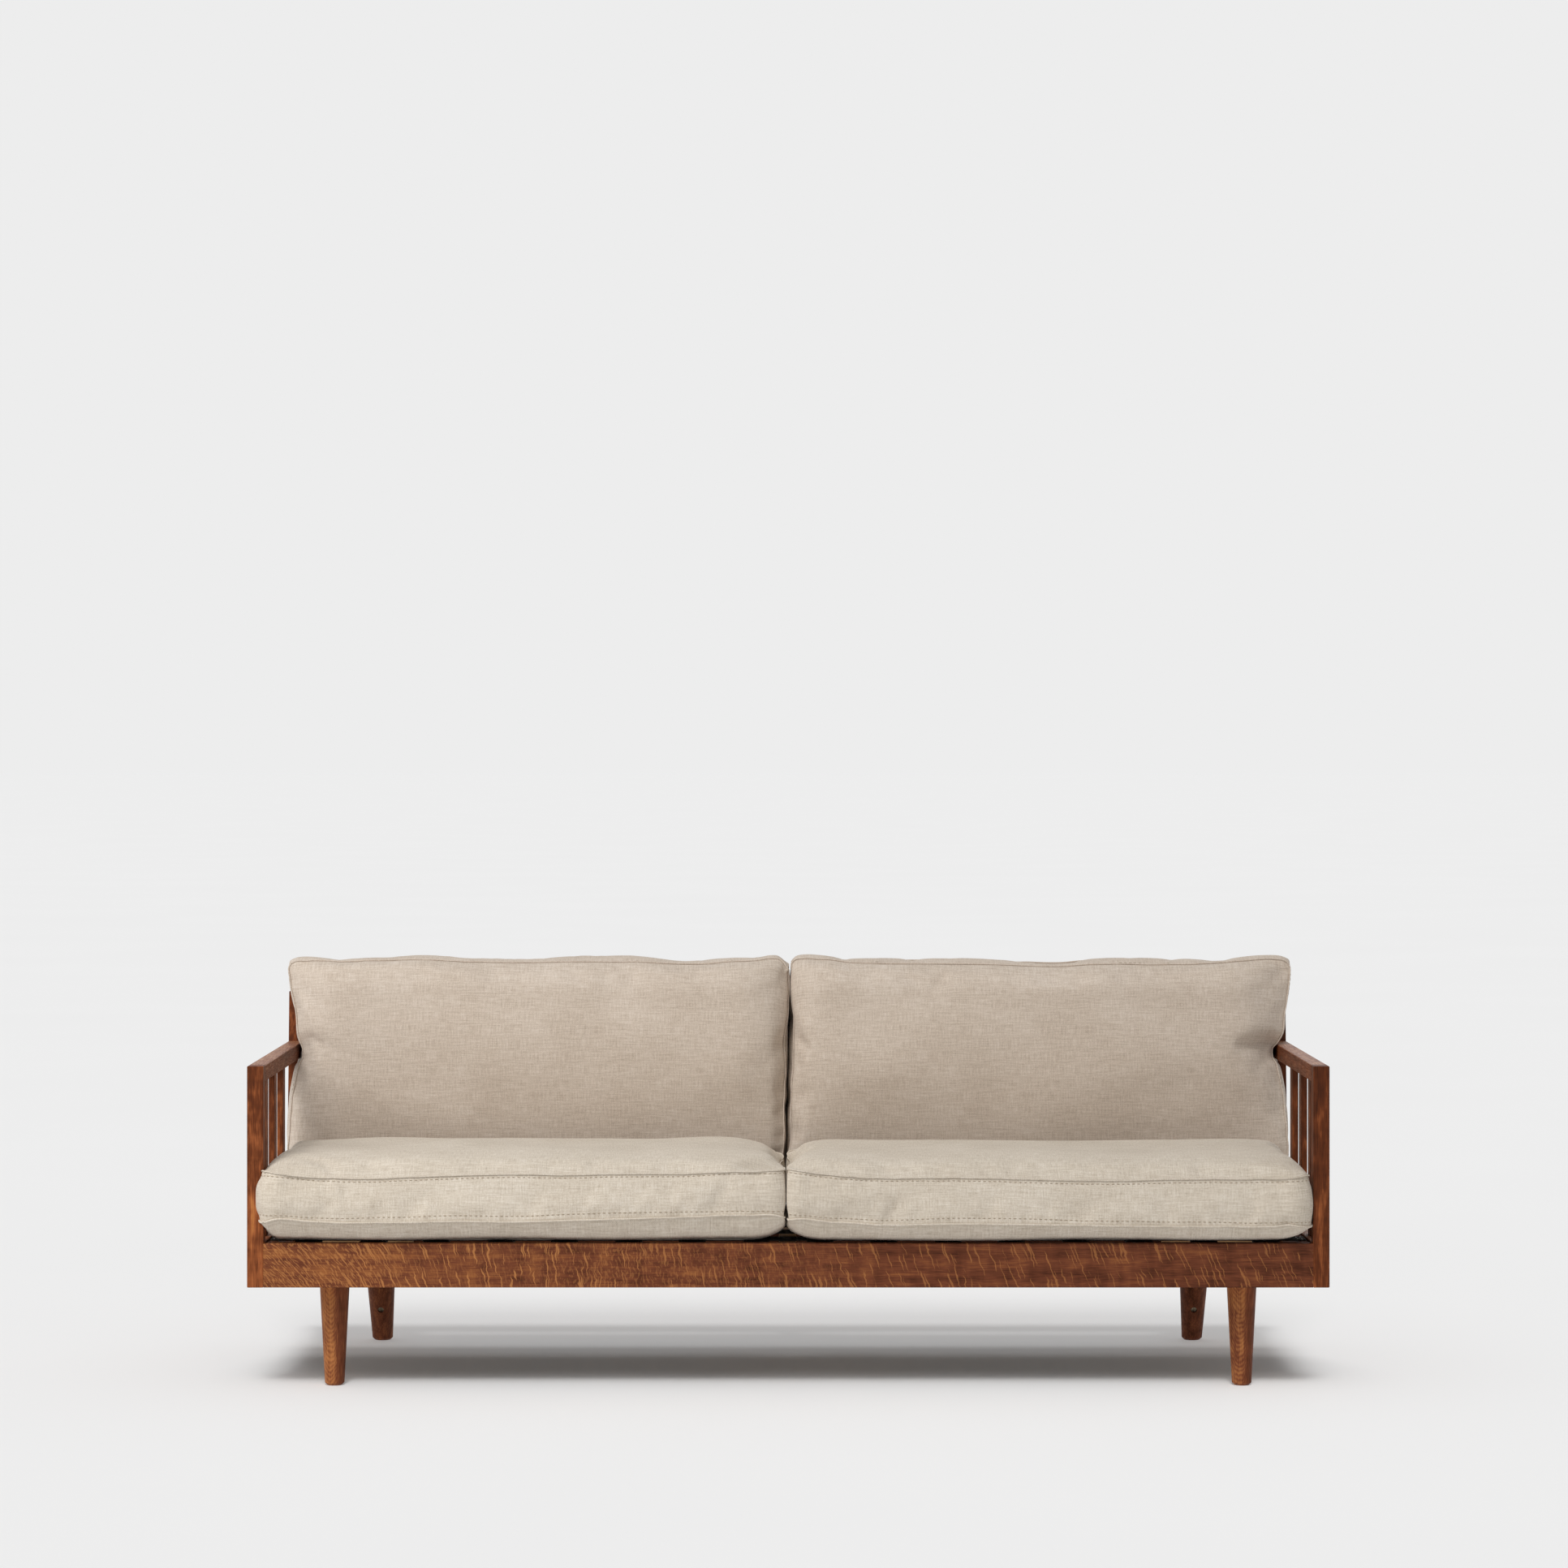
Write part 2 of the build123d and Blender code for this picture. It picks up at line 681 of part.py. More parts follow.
# Seat cushions: boxed, with front corners that swell over the faces of the posts
seat_underside = rail_top + soft_gap
seat_height = seat_crown - seat_underside
seat_sections = []
for height_share, inset_share in seat_profile_shares:
    inset = seat_roll * inset_share
    seat_sections.append(
        cushion_section(
            Plane.XY.offset(seat_underside + seat_height * height_share),
            soft_gap + inset,
            inner_x + seat_lobe - inset,
            front_y - cushion_overhang + inset,
            back_y - back_thickness + inset,
            seat_corner,
            seat_draw,
        )
    )
with BuildPart() as seat_cushion:
    loft(seat_sections, ruled=True)
    add(room_beyond(inner_x - soft_gap, front_y - soft_gap, 0, arm_height), mode=Mode.SUBTRACT)
    split(bisect_by=Plane.YZ.offset(soft_gap), keep=Keep.TOP)
    split(bisect_by=back_face.offset(back_thickness + 2 * soft_gap), keep=Keep.TOP)
save_pair(seat_cushion.part, "seat_cushion")

# Back cushions: built on the leaning back, held in between the arms and swelling over them
back_cushion_foot = (rail_top - arm_height) / cos(lean) - back_thickness * tan(lean)
back_sections = []
for depth_share, inset_share in back_profile_shares:
    inset = back_roll * inset_share
    back_sections.append(
        cushion_section(
            back_face.offset(soft_gap + (back_thickness - soft_gap) * depth_share),
            soft_gap + inset,
            inner_x + back_lobe - inset,
            back_cushion_foot + inset,
            back_rise - inset,
            back_corner,
            back_draw,
        )
    )
with BuildPart() as back_cushion:
    loft(back_sections, ruled=True)
    add(
        room_beyond(inner_x - soft_gap, -overall_width, 0, arm_height + soft_gap),
        mode=Mode.SUBTRACT,
    )
    split(bisect_by=Plane.YZ.offset(soft_gap), keep=Keep.TOP)
    split(bisect_by=Plane.XY.offset(rail_top + soft_gap), keep=Keep.TOP)
save_pair(back_cushion.part, "back_cushion")
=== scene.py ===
"""Looks of the wooden sofa: stained oak, loose linen cushions, black webbing."""

import math

import bpy
import numpy as np
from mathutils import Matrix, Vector


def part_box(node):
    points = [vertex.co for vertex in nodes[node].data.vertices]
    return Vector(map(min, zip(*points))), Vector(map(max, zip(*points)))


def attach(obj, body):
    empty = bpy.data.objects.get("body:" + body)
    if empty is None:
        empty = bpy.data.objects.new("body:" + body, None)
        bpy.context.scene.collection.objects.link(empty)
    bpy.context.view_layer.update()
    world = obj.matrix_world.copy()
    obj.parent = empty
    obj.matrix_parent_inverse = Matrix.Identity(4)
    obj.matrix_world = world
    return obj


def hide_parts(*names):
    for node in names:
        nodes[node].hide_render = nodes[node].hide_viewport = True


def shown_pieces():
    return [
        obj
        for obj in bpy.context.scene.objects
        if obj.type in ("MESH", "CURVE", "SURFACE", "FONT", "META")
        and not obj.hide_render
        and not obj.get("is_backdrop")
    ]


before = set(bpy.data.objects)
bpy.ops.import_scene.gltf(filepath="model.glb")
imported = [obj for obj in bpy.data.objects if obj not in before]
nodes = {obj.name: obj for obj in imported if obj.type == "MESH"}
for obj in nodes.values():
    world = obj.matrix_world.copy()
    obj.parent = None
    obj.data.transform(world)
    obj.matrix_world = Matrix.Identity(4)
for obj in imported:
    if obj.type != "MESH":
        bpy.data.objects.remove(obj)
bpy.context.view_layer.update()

# Sizes of the frame that the cushions are fitted to, in metres
INNER_X = 0.970  # inner faces of the posts
POST_FRONT = -0.3477
BACK_Y = 0.3203  # front of the back posts at arm height
ARM_TOP = 0.601
ARM_UNDERSIDE = 0.5705
DECK_TOP = 0.273
LEAN = math.radians(5.5)
BACK_UP = np.array((0, math.sin(LEAN), math.cos(LEAN)))
BACK_FORWARD = np.array((0, -math.cos(LEAN), math.sin(LEAN)))
BACK_ORIGIN = np.array((0, BACK_Y, ARM_TOP))
RAIL_MIDDLE = 0.2325  # height of the front rail's middle
LEG_X = 0.847  # the front legs' middles, left and right
STRAP_ROWS = [-0.2339 + 0.112 * row for row in range(5)]  # y of the straps along the sofa
STRAP_COLUMNS = [-0.8925 + 0.119 * column for column in range(16)]  # x of the straps across it

# Sizes of the cushions, in metres
CELL = 0.0105  # of the grid that a cushion is made of
SEAM_ROW = 0.0034  # from a seam to the row of stitches beside it
OUTER_X = 0.984  # furthest reach to the side
SEAT_FRONT = -0.384
SEAT_SPLIT = -0.004  # x where the two seat cushions meet
LIP_ROOM = 0.0046  # from there to the seams, so that both lips have room
CLEAR = 0.0008  # between a cushion and the wood or webbing beside it
TOUCHING = 0.0006  # the same where it rests on or against something
SWELL = 0.012  # how far the stuffing may push the cover out
TUCK = 0.0010  # how deep the stitches draw the cover in
LIP = 0.0030  # thickness of a seam's folded edge
SEAM_PROUD = 0.0002  # how far a seam's line stands out of the cloth
BACK_DEPTH, BACK_PRESSED = 0.168, 0.1665  # room for a back cushion behind the seat, before and after
SWELL_FRAMES = 20  # steps of the cloth simulation
MM = 0.001


# Colour and nodes

MATH, VECTOR = "ShaderNodeMath", "ShaderNodeVectorMath"
NOISE, RAMP = "ShaderNodeTexNoise", "ShaderNodeValToRGB"


def linear(hex_colour):
    """An sRGB hex colour as linear RGBA."""
    parts = [int(hex_colour[i : i + 2], 16) / 255 for i in (1, 3, 5)]
    return tuple(c / 12.92 if c <= 0.04045 else ((c + 0.055) / 1.055) ** 2.4 for c in parts) + (1,)


def add(tree, kind, inputs=(), stops=(), **settings):
    """Adds a node with its settings, values and links, and a ramp's stops of place and colour or grey.

    Inputs come in their order, or by name or number. A node as an input is linked by its first output.
    """
    made = tree.nodes.new(kind)
    for name, value in settings.items():
        setattr(made, name, value)
    for socket, value in (inputs.items() if isinstance(inputs, dict) else enumerate(inputs)):
        if isinstance(value, bpy.types.Node):
            value = value.outputs[0]
        if isinstance(value, bpy.types.NodeSocket):
            tree.links.new(value, made.inputs[socket])
        else:
            made.inputs[socket].default_value = value
    if stops:
        elements = made.color_ramp.elements
        while len(elements) < len(stops):
            elements.new(0.5)
        for element, (place, colour) in zip(elements, stops):
            element.position = place
            element.color = linear(colour) if isinstance(colour, str) else (colour,) * 3 + (1,)
    return made


def new_material(name):
    """An empty material and its node tree."""
    material = bpy.data.materials.new(name)
    material.use_nodes = True
    material.node_tree.nodes.clear()
    return material, material.node_tree


def end_material(material, values):
    """A shader with these values, as the material's output."""
    tree = material.node_tree
    add(tree, "ShaderNodeOutputMaterial", (add(tree, "ShaderNodeBsdfPrincipled", values),))
    return material


def summed(tree, start, *patterns):
    """A start value with each pattern added, times its share."""
    for pattern, share in patterns:
        start = add(tree, MATH, (pattern, share, start), operation="MULTIPLY_ADD")
    return start


def patches(tree, place, sizes, detail=1.0):
    """Soft irregular patches with these sizes in metres along the three lengths of a place."""
    cells = add(tree, VECTOR, (place, [1 / size for size in sizes]), operation="MULTIPLY")
    return add(tree, NOISE, {"Vector": cells, "Scale": 1.0, "Detail": detail})


def flecks(tree, across, along, width, length, detail, seed=0.0):
    """Soft patches of this width and length on one face of a board."""
    cells = [
        add(tree, MATH, (way, 1 / size), operation="MULTIPLY")
        for way, size in ((across, width), (along, length))
    ]
    place = add(tree, "ShaderNodeCombineXYZ", (*cells, seed))
    return add(tree, NOISE, {"Vector": place, "Scale": 1.0, "Detail": detail})


def streaks(tree, across, along, width, length, low, high, seed):
    """Irregular tapering streaks, longer one way than the other: a mask from 0 to 1."""
    uneven = flecks(tree, across, along, width, length, 1.5, seed)
    return add(tree, RAMP, (uneven,), stops=((low, 0.0), (high, 1.0)))


def nested_scales(tree, here, bent, tone):
    """Tone of the front legs: the left half is lighter, partly its figure of nested scales, partly painted
    light from the left.
    """
    # both legs folded onto one: metres to the right of the line where the lighter left half ends, 6 mm left
    # of the leg's middle
    is_right = add(tree, MATH, (here["X"], 0.0), operation="GREATER_THAN")
    side = summed(tree, here["X"], (is_right, -2 * LEG_X))
    side = add(tree, MATH, (side, LEG_X + 0.006), operation="ADD")
    # arcs 17 mm wide, one above the other every 9 mm
    arc = add(tree, MATH, (side, 1 / 0.0085), operation="MULTIPLY")
    arc = add(tree, MATH, (arc, arc), operation="MULTIPLY")
    nest = add(tree, MATH, (arc, -0.8), operation="MULTIPLY")
    waver = patches(tree, bent, (0.03, 0.01, 0.01))
    nest = summed(tree, nest, (here["Z"], 1 / 0.009), (waver, 1.6))
    turned = add(tree, MATH, (nest, math.tau), operation="MULTIPLY")
    wave = add(tree, MATH, (turned,), operation="SINE")
    # the lighter left half: partly the wood's figure, partly painted light falling from the left
    half = add(tree, RAMP, (summed(tree, 0.5, (side, 20.0)),), stops=((0.60, 1.0), (0.82, 0.0)))
    in_front = add(tree, MATH, (here["Y"], 0.0), operation="LESS_THAN")
    half = add(tree, MATH, (half, in_front), operation="MULTIPLY")
    return summed(tree, tone, (half, summed(tree, 0.20, (wave, 0.07))))


def ray_flecks(tree, here):
    """Mask of the pale rays of the front rail, thick on its left and sparse on its right."""
    up = add(tree, MATH, (here["Z"], RAIL_MIDDLE), operation="SUBTRACT")
    # from 0 at the rail's left end to 1 at its right end: the slant and the crowding of the flecks
    share = summed(tree, 0.5, (here["X"], 0.5))
    slant, spread, crowd = (
        add(tree, RAMP, (share,), stops=stops)
        for stops in (
            ((0.02, 0.95), (0.11, 0.62), (0.18, 0.24), (0.30, 0.07), (0.55, 0.30), (0.95, 0.42)),
            ((0.02, 0.70), (0.12, 1.0), (0.28, 1.0), (0.42, 0.70), (0.60, 0.60), (0.95, 0.55)),
            ((0.02, 0.75), (0.11, 0.70), (0.16, 0.18), (0.27, 0.22), (0.34, 0.38), (0.50, 0.16), (0.60, 0.0)),
        )
    )
    waver = flecks(tree, here["X"], up, 0.030, 0.016, 2.0)
    across = add(tree, MATH, (up, slant, here["X"]), operation="MULTIPLY_ADD")
    across = summed(tree, across, (waver, 0.012))
    # long rays 4 mm wide, and ripples: short flecks 3 mm wide that crowd the left third
    rays = streaks(tree, across, up, 0.0042, 0.060, 0.605, 0.640, 3.0)
    rays = add(tree, MATH, (rays, spread), operation="MULTIPLY")
    ripples = streaks(tree, across, up, 0.0034, 0.011, 0.54, 0.585, 11.0)
    ripples = add(tree, MATH, (ripples, crowd), operation="MULTIPLY")
    return add(tree, MATH, (rays, ripples), operation="MAXIMUM")


# Oak, quarter sawn, stained reddish brown and hard-waxed: fine dark pores run along the
# grain, pale ray flecks cross it, and the wax leaves a soft shine that the pores break up
GRAIN_ORDER = {"X": "XYZ", "Y": "YXZ", "Z": "ZXY"}


def stained_oak(
    name, along, dark, middle, light, paler=0.0, rise=0.0, offset=0.0, rough=0.46, shine=0.12,
    golden=0.0, rail=False, leg=False, top_sheen=0.0, deep=None,
):
    """Oak whose grain runs along an axis of the object.

    paler is how much lighter each metre to the left is: partly the boards' own tone, partly painted
    light from the lamps on the left. rise is how much lighter each metre down. top_sheen is how much
    paler the upper side is painted, a painted sheen of light glancing off it, and how much shinier its
    wax is there. deep is the colour where the stain is deepest.
    """
    material, tree = new_material(name)
    place = add(tree, "ShaderNodeTexCoord").outputs["Object"]
    shifted = add(tree, VECTOR, (place, (offset, offset * 0.7, offset * 1.3)), operation="ADD")
    here = add(tree, "ShaderNodeSeparateXYZ", (place,)).outputs
    parts = add(tree, "ShaderNodeSeparateXYZ", (shifted,)).outputs
    # the three lengths: along the grain, and the two across it
    board = add(tree, "ShaderNodeCombineXYZ", [parts[axis] for axis in GRAIN_ORDER[along]])
    # slow bending of the grain: up to 5 mm over about 300 mm
    bend = patches(tree, board, (1 / 3.0, 1 / 9.0, 1 / 9.0)).outputs["Color"]
    bend = add(tree, VECTOR, (bend, (0.5,) * 3), operation="SUBTRACT")
    bent = add(tree, VECTOR, (bend, (0.010,) * 3, board), operation="MULTIPLY_ADD")
    # pores: 0.3 mm wide in oak, drawn 1.6 mm wide and 30 mm long so that they show
    pores = patches(tree, bent, (0.030, 0.0016, 0.0016), 2.0)
    # growth rings seen edge on: bands 6 to 15 mm wide
    rings = patches(tree, bent, (0.60, 0.010, 0.010), 3.0)
    # figure: light and dark bars that cross the board every 15 to 40 mm
    figure = patches(tree, bent, (0.022, 0.20, 0.20), 3.0)
    # blotches where the stain went in deeper, 20 mm across
    blotch = patches(tree, bent, (0.040, 0.016, 0.016), 3.0)
    # lighter towards the left: partly the boards' own tone, partly painted light from the lamps on the left
    tone = summed(
        tree, -0.38, (rings, 0.45), (pores, 0.50), (figure, 0.40 if rail else 0.25), (blotch, 0.40),
        (here["X"], -paler), (here["Z"], -rise),
    )
    if golden:
        # golden patches where the surface runs along a ray, 50 mm long
        patch = patches(tree, bent, (0.055, 0.016, 0.016), 2.0)
        patch = add(tree, RAMP, (patch,), stops=((0.50, 0.0), (0.70, 1.0)))
        tone = summed(tree, tone, (patch, golden))
    if leg:
        tone = nested_scales(tree, here, bent, tone)
    level = shine
    # the upper side is painted paler, a painted sheen of light glancing off the tops, and its wax is made
    # shinier there
    if top_sheen:
        faces = add(tree, "ShaderNodeTexCoord").outputs["Normal"]
        upward = add(tree, "ShaderNodeSeparateXYZ", (faces,)).outputs["Z"]
        upward = add(tree, RAMP, (upward,), stops=((0.3, 0.0), (0.9, 1.0)))
        tone = summed(tree, tone, (upward, top_sheen))
        level = summed(tree, shine, (upward, 0.45))
    stops = ((0.02, deep or dark), (0.25, dark), (0.50, middle), (0.78, light))
    colour = add(tree, RAMP, (tone,), stops=stops)
    height = pores
    if rail:
        rays = ray_flecks(tree, here)
        shown = add(tree, MATH, (rays, 0.80), operation="MULTIPLY")
        colour = add(
            tree, "ShaderNodeMix", {0: shown, 6: colour, 7: linear("#b57946")}, data_type="RGBA"
        ).outputs[2]
        height = summed(tree, pores, (rays, 0.25))
    gloss = add(tree, RAMP, (pores,), stops=((0.30, rough + 0.16), (0.60, rough)))
    bump = add(tree, "ShaderNodeBump", {"Height": height, "Strength": 0.30, "Distance": 0.25 * MM})
    return end_material(material, {
        "Base Color": colour, "Roughness": gloss, "Normal": bump, "IOR": 1.5, "Specular IOR Level": level,
    })


# Linen, heavy, undyed, plain weave: uneven flax threads, so pale and dark slubs run both ways
def woven_linen(name, dark, middle, light):
    """Linen on the cloth map, whose lengths are metres along the warp and the weft."""
    material, tree = new_material(name)
    cloth = add(tree, "ShaderNodeUVMap", uv_map="cloth").outputs[0]
    # threads: 1 mm apart in the real cloth, drawn 1.3 mm wide so that they show
    turned = add(tree, VECTOR, (cloth, (math.tau / (2.6 * MM),) * 3), operation="MULTIPLY")
    parts = add(tree, "ShaderNodeSeparateXYZ", (turned,)).outputs
    warp, weft = (add(tree, MATH, (parts[way],), operation="SINE") for way in (0, 1))
    over = add(tree, MATH, (warp, weft), operation="MULTIPLY")
    # slubs: threads that swell for 26 to 30 mm, drawn 2 mm wide so that they show
    slubs = []
    for scale, seed in (((1 / 0.0020, 1 / 0.026, 1), 0.0), ((1 / 0.030, 1 / 0.0020, 1), 7.3)):
        threads = add(tree, VECTOR, (cloth, scale, (seed,) * 3), operation="MULTIPLY_ADD")
        slubs.append(add(tree, NOISE, {"Vector": threads, "Scale": 1.0, "Detail": 1.0}))
    both = add(tree, MATH, slubs, operation="ADD")
    # knots and neps of the flax, 3 mm across, and slow clouding of the undyed cloth, 150 mm across
    neps = patches(tree, cloth, (0.0030, 0.0030, 1))
    clouds = add(tree, NOISE, {"Vector": cloth, "Scale": 7.0, "Detail": 2.0})
    tone = summed(tree, 0.215, (both, 0.20), (over, 0.055), (neps, 0.17), (clouds, 0.10))
    colour = add(tree, RAMP, (tone,), stops=((0.36, dark), (0.54, middle), (0.74, light)))
    height = summed(tree, both, (over, 0.25))
    bump = add(tree, "ShaderNodeBump", {"Height": height, "Strength": 0.55, "Distance": 0.5 * MM})
    return end_material(material, {
        "Base Color": colour, "Roughness": 0.92, "Normal": bump, "IOR": 1.45,
        "Specular IOR Level": 0.25, "Sheen Weight": 0.12, "Sheen Roughness": 0.5,
    })


# Flax sewing thread: matt, two-ply
def sewing_thread(name, dark, light):
    """Thread whose fibres catch the light unevenly, every millimetre or so."""
    material, tree = new_material(name)
    place = add(tree, "ShaderNodeTexCoord").outputs["Object"]
    grain = add(tree, NOISE, {"Vector": place, "Scale": 900.0})
    tint = add(tree, RAMP, (grain,), stops=((0.3, dark), (0.7, light)))
    return end_material(material, {"Base Color": tint, "Roughness": 0.85, "Sheen Weight": 0.1})


# Elastic upholstery webbing: black ribbed tape, slightly rubbery
def elastic_webbing(name, along, across):
    """Webbing whose straps run along one axis of the object."""
    material, tree = new_material(name)
    place = add(tree, "ShaderNodeTexCoord").outputs["Object"]
    parts = add(tree, "ShaderNodeSeparateXYZ", (place,)).outputs
    # ribs cross the strap every 2.4 mm, and cords run along it 5 mm apart
    waves = []
    for axis, pitch in ((along, 2.4 * MM), (across, 5.0 * MM)):
        turned = add(tree, MATH, (parts[axis], math.tau / pitch), operation="MULTIPLY")
        waves.append(add(tree, MATH, (turned,), operation="SINE"))
    rib, cord = waves
    woven = summed(tree, cord, (rib, 0.6))
    tone = summed(tree, 0.5, (woven, 0.3))
    colour = add(
        tree, RAMP, (tone,), stops=((0.1, "#0e0d0c"), (0.6, "#1d1b1a"), (0.95, "#35322f"))
    )
    bump = add(tree, "ShaderNodeBump", {"Height": woven, "Strength": 0.5, "Distance": 0.4 * MM})
    return end_material(
        material, {"Base Color": colour, "Roughness": 0.78, "Specular IOR Level": 0.2, "Normal": bump}
    )


# Steel, zinc plated: pale grey with a faint blue and yellow cast
def zinc_plate(name, *colours):
    """Plated steel with small clouds of three colours, 8 mm across."""
    material, tree = new_material(name)
    place = add(tree, "ShaderNodeTexCoord").outputs["Object"]
    stain = add(tree, NOISE, {"Vector": place, "Scale": 120.0, "Detail": 3.0})
    colour = add(tree, RAMP, (stain,), stops=tuple(zip((0.3, 0.5, 0.7), colours)))
    gloss = add(tree, RAMP, (stain,), stops=((0.3, 0.28), (0.7, 0.42)))
    return end_material(material, {"Base Color": colour, "Metallic": 1.0, "Roughness": gloss})


oak_x = stained_oak("stained_oak_rails", "X", "#3f1f10", "#623620", "#8d5936", paler=0.08, offset=0.31)
oak_y = stained_oak(
    "stained_oak_arms", "Y", "#4d2510", "#6e391c", "#a37450", offset=0.13, shine=0.10, top_sheen=0.17
)
oak_z = stained_oak(
    "stained_oak_posts", "Z", "#613016", "#9a5730", "#cc8746", paler=0.06, rise=0.45, offset=0.55,
    golden=0.18, deep="#44200e",
)
oak_rail = stained_oak(
    "stained_oak_front_rail", "X", "#452111", "#6e3c26", "#965c33", paler=0.10, rail=True
)
oak_leg = stained_oak(
    "stained_oak_legs", "Z", "#4f2813", "#7c452b", "#b47543", offset=0.9, paler=0.03, leg=True
)
# Beech, planed and oiled: pale, with little figure, and duller than the waxed oak
beech = stained_oak("oiled_beech", "X", "#a67c55", "#c29a70", "#d3b189", offset=0.4, rough=0.6)
web_x = elastic_webbing("elastic_webbing_lengthwise", "X", "Y")
web_y = elastic_webbing("elastic_webbing_crosswise", "Y", "X")
zinc = zinc_plate("zinc_plated_steel", "#a9acad", "#c3c4c2", "#cdc9b8")
# the barrel nuts in their bores and the screws' slots take a darker, brownish steel: painted shade of the
# bores and slots
shade_steel = zinc_plate("browned_steel", "#5d5344", "#857a67", "#aa9f88")
seat_linen = woven_linen("undyed_linen_seat", "#a29381", "#cdc1b0", "#ece4d8")
# the back cushions' copy of the same linen is a little darker and warmer than the seats': painted shade
shaded_back_linen = woven_linen("undyed_linen_back", "#a18f80", "#cabbab", "#e7dcd1")
# the thread is darker than the linen: painted shade of the holes that the stitches draw into the cloth
thread = sewing_thread("flax_thread", "#998872", "#ab9b86")

# The finish of each CAD node: the first one whose word is in its name
FINISHES = (
    ("front_rail", oak_rail), ("slats", oak_z), ("post", oak_z), ("arm_rail", oak_y), ("side_rail", oak_y),
    ("block", beech), ("bearer", beech), ("barrel_nuts", shade_steel), ("leg_bolts", zinc), ("washers", zinc),
    # the cleats fall to the last entry, the rails' dark stain, which darkens the gap above the front rail:
    # painted shade
    ("leg", oak_leg), ("webbing_lengthwise", web_x), ("webbing_crosswise", web_y), ("", oak_x),
)
for node, piece in nodes.items():
    if "cushion" not in node:
        piece.data.materials.clear()
        piece.data.materials.append(next(finish for word, finish in FINISHES if word in node))


# Cushions


def smooth_between(places, stops):
    """Values at places on a smooth line through given stops of (place, value)."""
    at = np.array([s[0] for s in stops], float)
    values = np.array([s[1] for s in stops], float)
    i = np.clip(np.searchsorted(at, places) - 1, 0, len(at) - 2)
    step = at[i + 1] - at[i]
    t = np.clip((places - at[i]) / step, 0, 1)
    slopes = np.gradient(values, at)
    low = values[i] * (1 + 2 * t) * (1 - t) ** 2 + slopes[i] * step * t * (1 - t) ** 2
    high = values[i + 1] * (3 - 2 * t) * t**2 - slopes[i + 1] * step * (1 - t) * t**2
    return low + high


def ripple(a, b, seed, size, depth):
    """Seeded slow unevenness of a stuffed surface, from a few crossing waves."""
    chance = np.random.RandomState(seed)
    total = np.zeros_like(a)
    waves = 7
    for _ in range(waves):
        turn, phase = chance.uniform(0, math.tau, 2)
        wave = size * chance.uniform(0.6, 1.7)
        total += np.sin((a * math.cos(turn) + b * math.sin(turn)) * math.tau / wave + phase)
    return total / waves * depth * 1.6


def rounded(distance, reach, power):
    """From 0 at an edge to 1 at the reach, steep at first: higher powers are fuller."""
    return 1 - (1 - np.clip(distance / reach, 0, 1)) ** power


